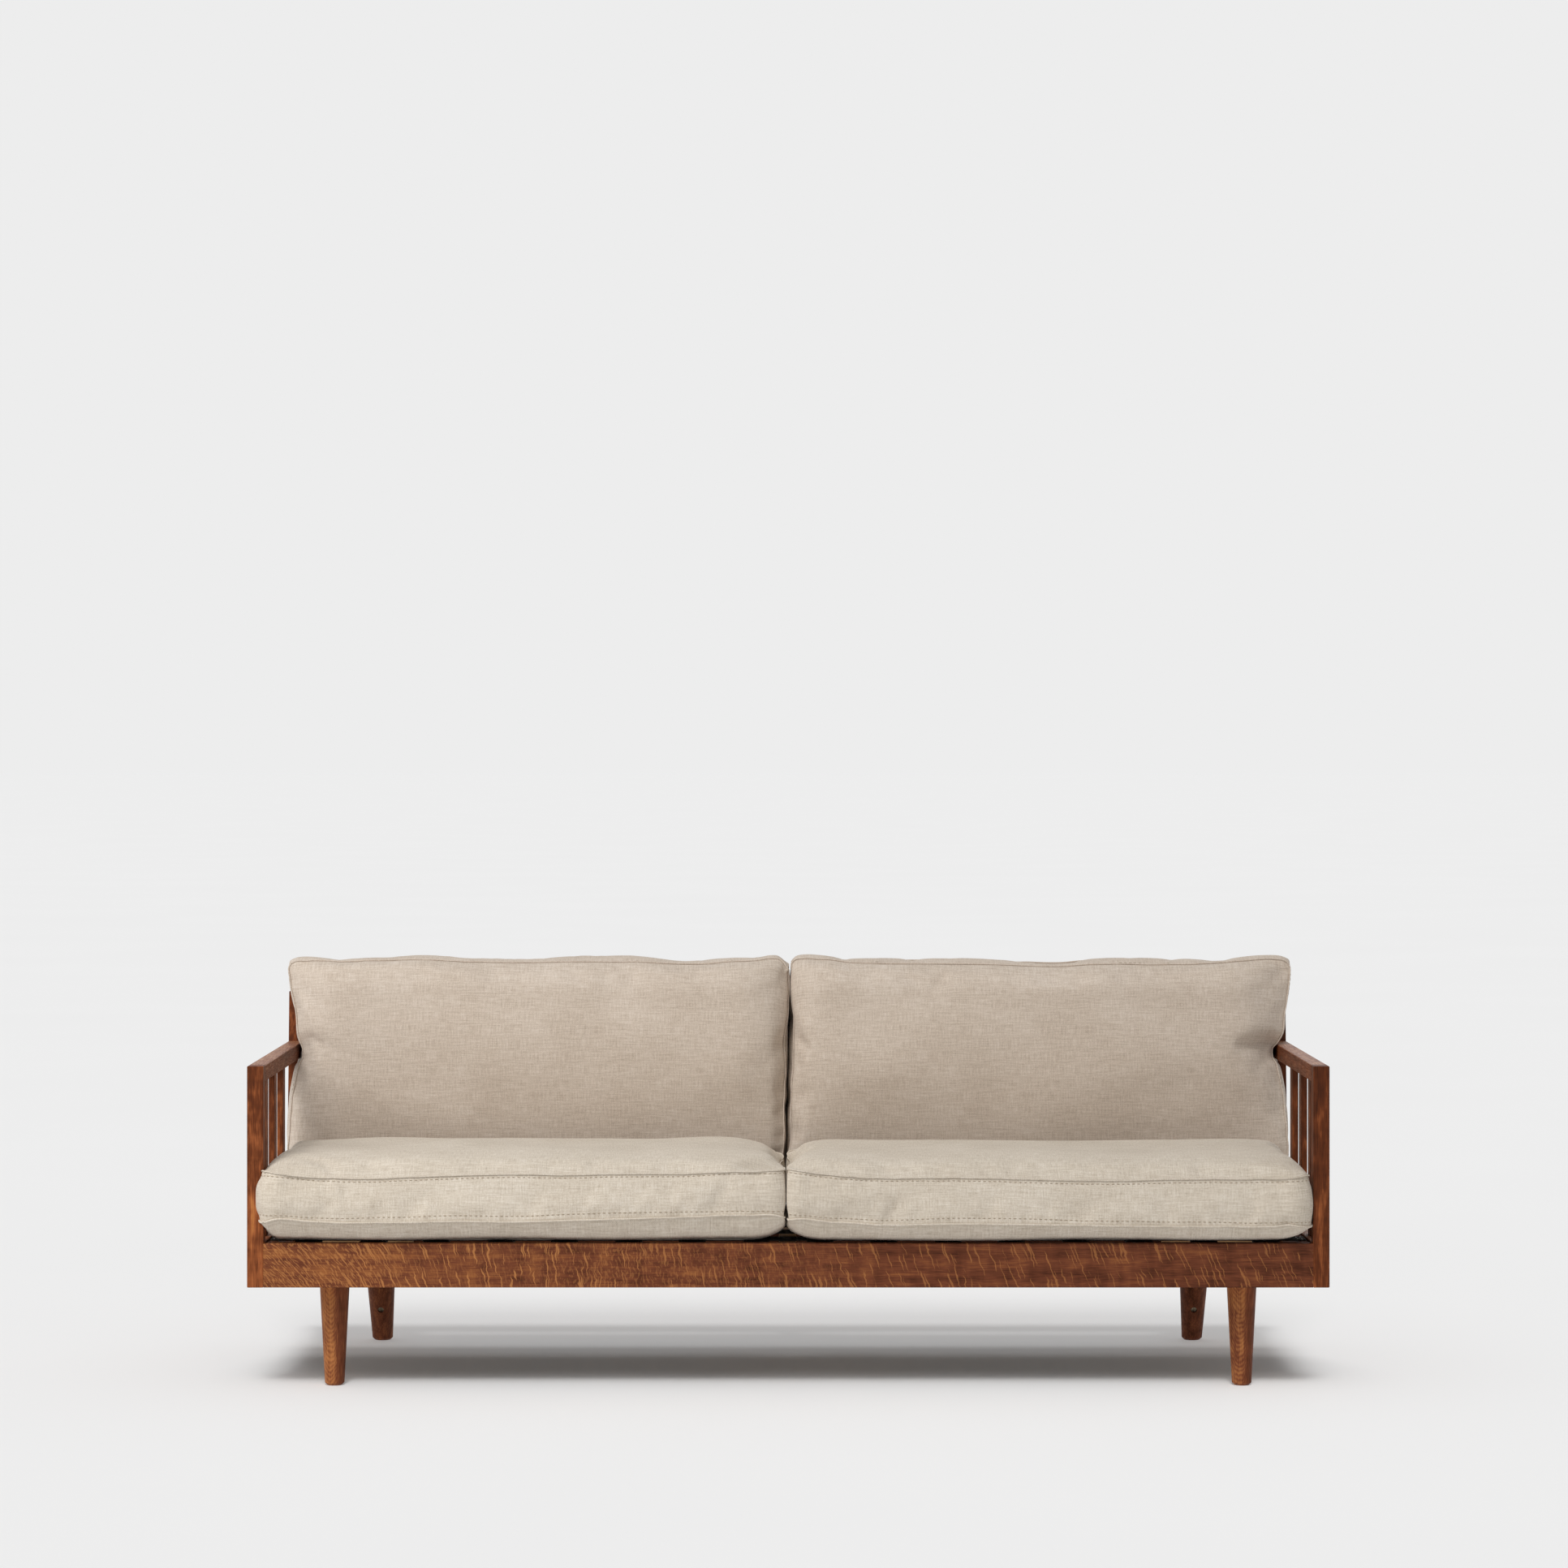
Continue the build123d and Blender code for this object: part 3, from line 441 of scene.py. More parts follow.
class BoxedCushion:
    """A cushion of two panels joined by a band, as a closed grid with its seams on grid lines.

    Local lengths: x across, y from one long side to the other, z through the thickness.
    The upper panel is at high z.
    """

    def __init__(self, x, y, z):
        self.x, self.y, self.z = x, y, z
        size = (x[1] - x[0], y[1] - y[0], z[1] - z[0])
        # shares from 0 to 1, with a first and last row of a set width for the seams' stitches
        rows = []
        for length in size:
            count, edge = max(6, round(length / CELL)), SEAM_ROW / length
            rows.append(np.concatenate(([0.0], np.linspace(edge, 1 - edge, count - 1), [1.0])))
        nu, nv, nw = self.counts = [len(shares) - 1 for shares in rows]
        self.index, places = {}, []
        self.faces, self.cloth = [], []
        # each panel: the two axes it lies along, its row on the third one, where its cloth lies on the
        # cloth map in metres, and whether it faces the other way
        for one, two, row, moved, flip in (
            (0, 1, nw, (0, 0), False), (0, 1, 0, (3, 0), True), (0, 2, 0, (0, 5), False),
            (0, 2, nv, (0, 6), True), (1, 2, 0, (7, 0), True), (1, 2, nu, (9, 0), False),
        ):
            for a, b in np.ndindex(self.counts[one], self.counts[two]):
                ring = [(a, b), (a + 1, b), (a + 1, b + 1), (a, b + 1)]
                if flip:
                    ring.reverse()
                face, cloth = [], []
                for corner in ring:
                    key = [row] * 3
                    key[one], key[two] = corner
                    key = tuple(key)
                    if key not in self.index:
                        self.index[key] = len(places)
                        places.append([shares[i] for shares, i in zip(rows, key)])
                    face.append(self.index[key])
                    cloth.append([
                        rows[axis][i] * size[axis] + far
                        for axis, i, far in zip((one, two), corner, moved)
                    ])
                self.faces.append(face)
                self.cloth.append(cloth)
        self.share = np.array(places)

    def ring(self, k):
        """The grid line round the cushion at row k."""
        nu, nv, _ = self.counts
        line = [(i, 0) for i in range(nu)] + [(nu, j) for j in range(nv)]
        line += [(i, nv) for i in range(nu, 0, -1)] + [(0, j) for j in range(nv, 0, -1)]
        return [self.index[(i, j, k)] for i, j in line]

    def plan(self, corner, draw):
        """Rounded plan: local x and y of each point, the way outwards and the distance from the edges.

        corner is a radius, or one for each point. draw is how far the sides pull in between corners.
        """
        half = np.array(((self.x[1] - self.x[0]) / 2, (self.y[1] - self.y[0]) / 2))
        middle = np.array(((self.x[1] + self.x[0]) / 2, (self.y[1] + self.y[0]) / 2))
        flat = (self.share[:, :2] * 2 - 1) * half
        over = np.maximum(np.abs(flat) - (half - corner), 0)
        reach = np.hypot(over[:, 0], over[:, 1])
        both = (over > 0).all(1)
        factor = np.ones(len(flat))
        factor[both] = over[both].max(1) / reach[both]
        sign = np.sign(flat)
        flat = np.where(both[:, None], sign * (half - corner + over * factor[:, None]), flat)
        shares = flat / half
        flat = flat - sign * draw * (1 - shares[:, ::-1] ** 2) * np.abs(shares) ** 3
        outward = np.where(both[:, None], sign * over, 0.0)
        straight = ~both
        biggest = np.abs(shares).argmax(1)
        outward[straight, biggest[straight]] = sign[straight, biggest[straight]]
        outward /= np.maximum(np.hypot(outward[:, 0], outward[:, 1]), 1e-9)[:, None]
        edge = np.minimum(half - np.abs(flat), half)
        return flat + middle, outward, edge


def linked(name, mesh):
    """A new object with this mesh, in the scene."""
    made = bpy.data.objects.new(name, mesh)
    bpy.context.scene.collection.objects.link(made)
    return made


def cover(name, points, cushion, material):
    """A cushion's cover with its cloth map in metres."""
    mesh = bpy.data.meshes.new(name)
    mesh.from_pydata([tuple(p) for p in points], [], cushion.faces)
    layer = mesh.uv_layers.new(name="cloth")
    layer.data.foreach_set("uv", np.array(cushion.cloth, np.float32).ravel())
    mesh.polygons.foreach_set("use_smooth", np.ones(len(cushion.faces), bool))
    mesh.materials.append(material)
    mesh.update()
    return linked(name, mesh)


def points_of(piece):
    """The places of an object's points, also of one that a modifier has changed."""
    flat = np.zeros(len(piece.data.vertices) * 3, np.float32)
    piece.data.vertices.foreach_get("co", flat)
    return flat.reshape(-1, 3).astype(float)


def set_points(piece, points):
    """Gives an object's points these places."""
    piece.data.vertices.foreach_set("co", points.astype(np.float32).ravel())
    piece.data.update()


def inflate(piece, seam, held):
    """Cloth simulation: seams stay tight, panels have slack and swell under pressure."""
    before = points_of(piece)
    tight = piece.vertex_groups.new(name="tight")
    tight.add([int(i) for i in seam], 1.0, "REPLACE")
    pinned = piece.vertex_groups.new(name="pinned")
    for i in np.nonzero(held > 0)[0]:
        pinned.add([int(i)], float(held[i]), "REPLACE")
    modifier = piece.modifiers.new("swell", "CLOTH")
    # a shrink_min below 0 gives the panels 1.2 % of slack
    for name, value in {
        "quality": 5, "mass": 0.35, "tension_stiffness": 80, "compression_stiffness": 40,
        "shear_stiffness": 25, "bending_stiffness": 1.5, "use_pressure": True,
        "uniform_pressure_force": 1.2, "vertex_group_mass": "pinned", "pin_stiffness": 1.0,
        "vertex_group_shrink": "tight", "shrink_min": -0.012, "shrink_max": 0.0,
    }.items():
        setattr(modifier.settings, name, value)
    modifier.settings.effector_weights.gravity = 0
    scene = bpy.context.scene
    modifier.point_cache.frame_start, modifier.point_cache.frame_end = 1, SWELL_FRAMES
    for number in range(1, SWELL_FRAMES + 1):
        scene.frame_set(number)
    after = points_of(piece.evaluated_get(bpy.context.evaluated_depsgraph_get()))
    piece.modifiers.remove(modifier)
    scene.frame_set(1)
    move = after - before
    length = np.linalg.norm(move, axis=1)
    move *= (np.minimum(length, SWELL) / np.maximum(length, 1e-9))[:, None]
    set_points(piece, before + move)


# How far the seams of the seat cushions rise and dip along the front, at each x, as in the
# photograph: the upper one and the lower one, of the left cushion (-1) and the right one (1)
UPPER_SEAM = {
    -1: ((-0.944, -0.001), (-0.842, -0.006), (-0.739, -0.007), (-0.637, -0.002), (-0.534, 0.003),
         (-0.433, 0.002), (-0.33, 0.002), (-0.228, 0.0), (-0.125, 0.003), (0.0, 0.006)),
    1: ((0.0, 0.008), (0.03, 0.005), (0.074, 0.0), (0.183, -0.006), (0.329, -0.007), (0.40, -0.0085),
        (0.545, -0.012), (0.618, -0.012), (0.726, -0.0105), (0.835, -0.011), (0.958, -0.0105)),
}
LOWER_SEAM = {
    -1: ((-0.944, 0.002), (-0.842, -0.001), (-0.739, 0.0027), (-0.637, 0.005), (-0.534, 0.004),
         (-0.433, 0.007), (-0.33, 0.0095), (-0.228, 0.011), (-0.125, 0.010), (0.0, 0.008)),
    1: ((0.0, 0.004), (0.074, -0.002), (0.183, -0.0036), (0.329, 0.0), (0.47, -0.003),
        (0.618, -0.008), (0.76, -0.0094), (0.90, -0.013), (0.96, -0.014)),
}


def seat_shape(cushion, side, rolls, drops, rise, seed):
    """Seat cushion: crowned top, soft front roll, flat where it lies on the webbing.

    Over the rolls the crown comes up from the left and right end, and over the drops the underside
    goes down.
    """
    flat, outward, edge = cushion.plan(0.044, 0.004)
    w = cushion.share[:, 2]
    x, y = flat[:, 0], flat[:, 1]
    low = cushion.z[0] + smooth_between(x, LOWER_SEAM[side])
    high = cushion.z[1] + smooth_between(x, UPPER_SEAM[side])
    top, base = w >= 1, w <= 0
    z = low + (high - low) * w
    bulge = np.sin(np.pi * w) ** 0.8 * 0.006
    bulge[top | base] = 0
    bulge -= 0.004 * np.clip(w * 2 - 1, 0, 1) * np.abs(outward[:, 0])
    x = x + outward[:, 0] * bulge
    y = y + outward[:, 1] * bulge
    # the crown rolls down over 170 mm to the front and back, and is fuller at the arm's end
    left = cushion.share[:, 0] < 0.5
    outer = cushion.share[:, 0] if side > 0 else 1 - cushion.share[:, 0]
    crown = rounded(edge[:, 0], np.where(left, *rolls), 2.6 + 5.4 * outer**6)
    crown = (crown * rounded(edge[:, 1], 0.170, 2.4)) ** (1 - 0.35 * outer)
    full = cushion.z[1] + rise + ripple(x, y, seed, 0.30, 0.003)
    z = np.where(top, high + crown * (full - high), z)
    # the underside rolls up to the seam, and hangs clear of the front rail by 3 to 10 mm
    sag = rounded(edge[:, 0], np.where(left, *drops), 2.0) ** 0.6 * rounded(edge[:, 1], 0.085, 4.5)
    z = np.where(base, low - (low - DECK_TOP - TOUCHING) * sag, z)
    hang = np.clip((POST_FRONT + 0.055 - y) / 0.03, 0, 1) * np.clip(edge[:, 1] / 0.010, 0, 1)
    z = np.where(base, z + hang * (0.0035 + ripple(x, 0 * x, seed + 5, 0.55, 0.004)), z)
    # in the middle of the sofa, over 115 mm, the cushion sinks towards the back by up to 22 mm
    inner = left if side > 0 else ~left
    sunk = np.clip(1 - edge[:, 0] / 0.115, 0, 1) ** 1.8 * np.clip((y + 0.28) / 0.30, 0, 1)
    z = z - np.where(inner & ~base, 0.022 * sunk * w, 0)
    wave = ripple(x, y, seed + 1, 0.35, 0.0025)
    z = z + np.where(base, 0, wave * np.sin(np.pi * w * 0.5))
    return np.stack([x, y, z], 1)


def keep_seat_clear(points, side):
    """Pushes a seat cushion's points out of the deck, the posts, the arms and its neighbour."""
    x, y, z = points[:, 0] * side, points[:, 1], points[:, 2]
    z = np.maximum(z, DECK_TOP + TOUCHING)
    x = np.maximum(x, SEAT_SPLIT * side + TOUCHING)
    near = (y > POST_FRONT - CLEAR) & (x > INNER_X - CLEAR)
    shallow = near & (y - POST_FRONT + CLEAR < x - INNER_X + CLEAR) & (y < POST_FRONT + 0.012)
    y = np.where(shallow, POST_FRONT - CLEAR, y)
    x = np.where(near & ~shallow, INNER_X - CLEAR, x)
    return np.stack([np.minimum(x, OUTER_X) * side, np.maximum(y, SEAT_FRONT), z], 1)


def lean_against(points, thickness):
    """Keeps a seat cushion's points before a back cushion of this thickness."""
    room = BACK_Y + (points[:, 2] - ARM_TOP) * math.tan(LEAN) - thickness
    points[:, 1] = np.minimum(points[:, 1], room)


# How far the front of a back cushion stands out at each height above the arms: full in the
# middle, and falling back below to where the seat cushion meets it
BELLY = (
    (-0.333, -0.018), (-0.260, -0.007), (-0.190, 0.007), (-0.130, 0.020), (-0.070, 0.033), (0.0, 0.042),
    (0.060, 0.044), (0.122, 0.041), (0.150, 0.026), (0.160, 0.006),
)


def crease(x, y, start, end, width, depth):
    """A soft fold along a line between two places: depth above 0 is a ridge."""
    ax, ay = start
    run_x, run_y = end[0] - ax, end[1] - ay
    share = np.clip(((x - ax) * run_x + (y - ay) * run_y) / (run_x**2 + run_y**2), 0, 1)
    away = np.hypot(x - ax - share * run_x, y - ay - share * run_y)
    return depth * np.exp(-((away / width) ** 2)) * (1 - 0.6 * share)


def back_shape(cushion, side, seed, contour, creases):
    """Back cushion: full front, flat behind, with a soft upper edge."""
    inner = (cushion.share[:, :1] > 0.5) if side < 0 else (cushion.share[:, :1] < 0.5)
    flat, outward, edge = cushion.plan(np.where(inner, 0.042, 0.020), 0.003)
    w = cushion.share[:, 2]
    low, high = cushion.z
    x, y = flat[:, 0], flat[:, 1]
    front, rear = w >= 1, w <= 0
    z = low + (high - low) * w
    bulge = np.sin(np.pi * w) ** 0.8 * 0.009
    bulge[front | rear] = 0
    x = x + outward[:, 0] * bulge
    y = y + outward[:, 1] * bulge
    # the front rolls down over 130 mm to the left and right end, and the rear over 60 mm all round
    crown = rounded(edge[:, 0], 0.130, 2.3) * smooth_between(y, BELLY)
    folds = sum(crease(x * side, y, *line) for line in creases)
    soft = np.clip(edge.min(1) / 0.02, 0, 1)
    z = np.where(front, high + crown + (ripple(x, y, seed, 0.33, 0.004) + folds) * soft, z)
    press = rounded(edge[:, 0], 0.060, 2.2) * rounded(edge[:, 1], 0.060, 2.2)
    z = np.where(rear, low - (low - CLEAR) * press, z)
    # the foot stands level on the webbing
    floor_y = (DECK_TOP + CLEAR - ARM_TOP - z * math.sin(LEAN)) / math.cos(LEAN)
    y = y + (floor_y - cushion.y[0]) * np.clip(1 - (y - cushion.y[0]) / 0.10, 0, 1.05)
    # the upper edge rises and dips as in the photograph
    lift = smooth_between(np.abs(x) / INNER_X, contour)
    y = y + lift * np.clip((y - 0.02) / 0.14, 0, 1)
    return np.stack([x, y, z], 1)


# How far the outer side of a back cushion stands from the middle, at each height above the arms
ARM_PINCH = (
    (-0.34, 0.984), (-0.22, 0.991), (-0.13, 0.991), (-0.075, 0.986), (-0.045, 0.979), (-0.030, 0.976),
    (0.0, 0.976), (0.020, 0.980), (0.050, 0.986), (0.080, 0.990), (0.11, 0.992), (0.15, 0.994),
    (0.18, 0.993),
)


def beside_arm(y, side):
    """The outer side of one back cushion: the right one is wider, and fuller just above the arm."""
    fuller = 0.008 if side > 0 else 0.003
    return (
        smooth_between(y, ARM_PINCH)
        + np.clip((y + 0.03) / 0.08, 0, 1) * 0.004 * side
        + fuller * np.exp(-(((y - 0.015) / 0.030) ** 2))
    )


def pinch(points, side):
    """Local x of the outer side follows the room beside the cushion: narrow between the arms."""
    x, y, z = points[:, 0] * side, points[:, 1], points[:, 2]
    near = np.clip((x - 0.80) / (OUTER_X - 0.80), 0, 1.1)
    return np.stack([(x + (beside_arm(y, side) - OUTER_X) * near**2.5) * side, y, z], 1)


def keep_back_clear(points, side):
    """Pushes a back cushion's points, in local lengths, out of the frame, deck and neighbour."""
    x, y, z = points[:, 0] * side, points[:, 1], points[:, 2]
    z = np.maximum(z, TOUCHING)
    split = smooth_between(y, ((-0.33, -0.004), (0.16, 0.004))) * side
    x = np.maximum(x, split + TOUCHING)
    x = np.minimum(x, beside_arm(y, side) + 0.001)
    height = ARM_TOP + y * math.cos(LEAN) + z * math.sin(LEAN)
    raised = np.maximum(DECK_TOP + CLEAR - height, 0)
    y, height = y + raised / math.cos(LEAN), height + raised
    beside = (height < ARM_TOP + TOUCHING) & (height > ARM_UNDERSIDE - 0.001) & (x > INNER_X - CLEAR)
    return np.stack([np.where(beside, INNER_X - CLEAR, x) * side, y, z], 1)


def to_back(points):
    """From lengths on the leaning back to the frame's own."""
    return (
        BACK_ORIGIN
        + points[:, :1] * np.array((1.0, 0, 0))
        + points[:, 1:2] * BACK_UP
        + points[:, 2:3] * BACK_FORWARD
    )


def from_back(points):
    """From the frame's own lengths to those on the leaning back."""
    moved = points - BACK_ORIGIN
    return np.stack([moved[:, 0], moved @ BACK_UP, moved @ BACK_FORWARD], 1)


def tuck(piece, rows):
    """Draws the rows of points beside the seams into the stuffing, as their stitches do."""
    points = points_of(piece)
    for i in set(rows):
        points[i] -= np.array(piece.data.vertices[i].normal) * TUCK
    set_points(piece, points)


def refine(piece):
    """One subdivision, applied."""
    modifier = piece.modifiers.new("refine", "SUBSURF")
    modifier.levels = modifier.render_levels = 1
    modifier.use_limit_surface = False
    bpy.context.view_layer.update()
    graph = bpy.context.evaluated_depsgraph_get()
    piece.data = bpy.data.meshes.new_from_object(
        piece.evaluated_get(graph), preserve_all_data_layers=True, depsgraph=graph
    )
    piece.modifiers.remove(modifier)


# Seams, stitches and fixings, from Geometry Nodes


def marks(name, places, edges, ways):
    """Points, and lines between them, that a tree grows on, with the ways that it needs at each."""
    mesh = bpy.data.meshes.new(name)
    mesh.from_pydata(places, edges, [])
    for label, vectors in ways.items():
        layer = mesh.attributes.new(label, "FLOAT_VECTOR", "POINT")
        layer.data.foreach_set("vector", np.array(vectors, np.float32).ravel())
    return linked(name, mesh)


def seam_line(piece, ring):
    """A closed line along a grid line of the finished cushion, with the cloth's normals."""
    vertices = piece.data.vertices
    return marks(
        "line",
        [tuple(vertices[i].co + vertices[i].normal * SEAM_PROUD) for i in ring],
        [(i, (i + 1) % len(ring)) for i in range(len(ring))],
        {"cloth_normal": [vertices[i].normal for i in ring]},
    )


def lengths_tree(name, sizes):
    """A Geometry Nodes tree with named inputs for its sizes."""
    tree = bpy.data.node_groups.new(name, "GeometryNodeTree")
    tree.is_modifier = True
    tree.interface.new_socket("Geometry", in_out="INPUT", socket_type="NodeSocketGeometry")
    for label, value in sizes.items():
        kind = "NodeSocketInt" if isinstance(value, int) else "NodeSocketFloat"
        socket = tree.interface.new_socket(label, in_out="INPUT", socket_type=kind)
        socket.default_value = value
    tree.interface.new_socket("Geometry", in_out="OUTPUT", socket_type="NodeSocketGeometry")
    return tree, add(tree, "NodeGroupInput").outputs


def end_tree(tree, geometry, material):
    """Realized instances with their material, as the tree's output."""
    real = add(tree, "GeometryNodeRealizeInstances", (geometry,))
    smooth = add(tree, "GeometryNodeSetShadeSmooth", (real,))
    dressed = add(tree, "GeometryNodeSetMaterial", {0: smooth, "Material": material})
    add(tree, "NodeGroupOutput", (dressed,))


def grow(source, tree, **sizes):
    """Runs a tree on a line or a set of points, and leaves its result as a plain mesh."""
    modifier = source.modifiers.new("grow", "NODES")
    modifier.node_group = tree
    for item in tree.interface.items_tree:
        if item.in_out == "INPUT" and item.name in sizes:
            modifier[item.identifier] = sizes[item.name]
    bpy.context.view_layer.update()
    evaluated = source.evaluated_get(bpy.context.evaluated_depsgraph_get())
    mesh = bpy.data.meshes.new_from_object(evaluated)
    bpy.data.objects.remove(source)
    return mesh


def joined(name, meshes, body):
    """Several grown meshes as one piece that rides on a body."""
    pieces = [linked(name, mesh) for mesh in meshes]
    with bpy.context.temp_override(
        active_object=pieces[0], selected_editable_objects=pieces, object=pieces[0]
    ):
        bpy.ops.object.join()
    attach(pieces[0], body)
    return pieces[0]


def evenly_along(tree, line, step):
    """The seam's line as a smooth curve with a point every step, and its cloth's normals."""
    curve = add(tree, "GeometryNodeMeshToCurve", (line,))
    curve = add(tree, "GeometryNodeCurveSplineType", (curve,), spline_type="CATMULL_ROM")
    curve = add(tree, "GeometryNodeResampleCurve", {0: curve, "Length": step}, mode="LENGTH")
    normal = add(tree, "GeometryNodeInputNamedAttribute", ("cloth_normal",), data_type="FLOAT_VECTOR")
    return curve, normal


# Seam lip: the folded edge of the cover, turned outwards and pressed flat
lip_tree, given = lengths_tree("seam_lip", {"Lip height": 0.004, "Lip thickness": 0.0026, "Step": 0.004})
curve, normal = evenly_along(lip_tree, given[0], given["Step"])
# its round edge lies 30 % of the lip's height out of the cloth
for scale in (given["Lip height"], 0.3):
    normal = add(lip_tree, VECTOR, {0: normal, "Scale": scale}, operation="SCALE")
curve = add(lip_tree, "GeometryNodeSetPosition", {0: curve, "Offset": normal})
radius = add(lip_tree, MATH, (given["Lip thickness"], 0.5), operation="MULTIPLY")
profile = add(lip_tree, "GeometryNodeCurvePrimitiveCircle", {"Resolution": 7, "Radius": radius})
end_tree(lip_tree, add(lip_tree, "GeometryNodeCurveToMesh", (curve, profile)), seat_linen)

# Stitches: short lengths of thread lying in the cloth beside a seam, 1 mm thick in the real
# cushion and drawn 1.6 mm thick so that they show
stitch_tree, given = lengths_tree(
    "stitches", {"Stitch length": 0.0060, "Pitch": 0.0095, "Thread thickness": 0.0016, "Seed": 4}
)
curve, normal = evenly_along(stitch_tree, given[0], given["Pitch"])
tangent = add(stitch_tree, "GeometryNodeInputTangent")
turn = add(stitch_tree, "FunctionNodeAlignRotationToVector", {"Vector": tangent}, axis="X")
turn = add(
    stitch_tree, "FunctionNodeAlignRotationToVector", {"Rotation": turn, "Vector": normal},
    axis="Z", pivot_axis="X",
)
uneven = add(
    stitch_tree, "FunctionNodeRandomValue", {2: 0.85, 3: 1.12, "Seed": given["Seed"]}, data_type="FLOAT"
).outputs[1]
long, thick = (
    add(stitch_tree, MATH, (given[label], 0.5), operation="MULTIPLY")
    for label in ("Stitch length", "Thread thickness")
)
long = add(stitch_tree, MATH, (long, uneven), operation="MULTIPLY")
shape = add(stitch_tree, "ShaderNodeCombineXYZ", (long, thick, thick))
bead = add(stitch_tree, "GeometryNodeMeshUVSphere", {"Segments": 6, "Rings": 4, "Radius": 1.0})
stitches = add(
    stitch_tree, "GeometryNodeInstanceOnPoints", {0: curve, 2: bead, "Rotation": turn, "Scale": shape}
)
end_tree(stitch_tree, stitches, thread)


def sew(cushion, piece, body, lower_lip):
    """Lips along the seams and a row of stitches beside each, for one cushion."""
    last = cushion.counts[2]
    meshes = [
        grow(seam_line(piece, cushion.ring(row)), lip_tree, **{"Lip thickness": thickness})
        for row, thickness in ((last, LIP), (0, lower_lip))
    ]
    lips = joined(f"{body}_seam_lips", meshes, body)
    lips.data.materials.clear()
    lips.data.materials.append(piece.data.materials[0])
    places = points_of(lips)
    ids = np.zeros(len(lips.data.loops), np.int32)
    lips.data.loops.foreach_get("vertex_index", ids)
    cloth = np.stack([places[ids, 0], places[ids, 2] + places[ids, 1]], 1)
    lips.data.uv_layers.new(name="cloth").data.foreach_set("uv", cloth.astype(np.float32).ravel())
    meshes = [
        grow(seam_line(piece, cushion.ring(row)), stitch_tree, Seed=i) for i, row in enumerate((last - 1, 1))
    ]
    joined(f"{body}_stitches", meshes, body)


for side, word, span, seed, rolls, drops, rise in (
    (-1, "left", (-0.982, 0.012), 11, (0.120, 0.210), (0.040, 0.085), 0.0205),
    (1, "right", (-0.020, 0.972), 29, (0.110, 0.180), (0.085, 0.070), 0.0165),
):
    body = f"{word}_seat_cushion"
    seat = BoxedCushion(span, (-0.3725, 0.1300), (0.3215, 0.4030))
    shaped = seat_shape(seat, side, rolls, drops, rise, seed)
    lean_against(shaped, BACK_DEPTH)
    shaped = keep_seat_clear(shaped, side)
    piece = cover(f"{body}_cover", shaped, seat, seat_linen)
    last = seat.counts[2]
    seam = seat.ring(0) + seat.ring(last)
    # what lies on the webbing is held
    inflate(piece, seam, np.clip((DECK_TOP + 0.016 - shaped[:, 2]) / 0.008, 0, 1))
    fitted = keep_seat_clear(points_of(piece), side)
    # the seams' lips stay on their own side of the middle
    fitted[seam, 0] = np.maximum(fitted[seam, 0] * side, LIP_ROOM + SEAT_SPLIT * side) * side
    lean_against(fitted, BACK_PRESSED)
    set_points(piece, fitted)
    tuck(piece, seat.ring(last - 1) + seat.ring(1))
    refine(piece)
    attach(piece, body)
    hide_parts(body)
    sew(seat, piece, body, lower_lip=0.0040)

# Height of the back cushions' upper edge along them, from the middle to the arm, as it shows
LEFT_CONTOUR = (
    (0.0, -0.012), (0.014, 0.0), (0.03, 0.002), (0.06, 0.001), (0.11, 0.001), (0.22, 0.002),
    (0.30, 0.006), (0.42, 0.0075), (0.55, 0.006), (0.65, 0.007), (0.75, 0.0095), (0.84, 0.006),
    (0.92, 0.001), (1.0, -0.001),
)
RIGHT_CONTOUR = (
    (0.0, -0.012), (0.012, -0.001), (0.03, 0.003), (0.07, 0.004), (0.13, 0.002), (0.20, 0.0025),
    (0.32, 0.003), (0.42, 0.002), (0.50, -0.001), (0.55, -0.002), (0.62, 0.002), (0.75, 0.001),
    (0.88, 0.001), (0.97, 0.002), (1.0, 0.002),
)
# Folds as they show, from the middle of the sofa outwards and up from the arms' height: where
# each starts and ends, its width and its depth
LEFT_CREASES = (
    ((0.955, 0.095), (0.920, 0.060), 0.014, -0.003),
    ((0.965, 0.000), (0.900, -0.015), 0.014, -0.002),
    ((0.010, -0.010), (0.060, -0.060), 0.022, -0.004),
    ((0.010, 0.115), (0.050, 0.080), 0.020, -0.003),
    ((0.640, 0.130), (0.560, 0.020), 0.045, 0.004),
    ((0.330, 0.120), (0.400, -0.040), 0.050, -0.004),
    ((0.120, -0.080), (0.300, -0.130), 0.050, 0.004),
    ((0.850, -0.110), (0.640, -0.150), 0.045, 0.004),
)
RIGHT_CREASES = (
    ((0.968, 0.000), (0.900, -0.020), 0.012, -0.003),
    ((0.968, -0.020), (0.920, -0.080), 0.012, -0.002),
    ((0.960, 0.025), (0.870, 0.020), 0.018, 0.002),
    ((0.975, 0.140), (0.900, 0.060), 0.024, -0.005),
    ((0.950, -0.085), (0.900, -0.100), 0.035, 0.003),
    ((0.010, 0.000), (0.045, -0.020), 0.010, -0.004),
    ((0.300, 0.120), (0.480, 0.060), 0.050, -0.004),
    ((0.620, 0.110), (0.700, -0.060), 0.050, 0.004),
    ((0.780, -0.090), (0.600, -0.120), 0.040, -0.004),
    ((0.200, -0.060), (0.360, -0.120), 0.050, 0.004),
)
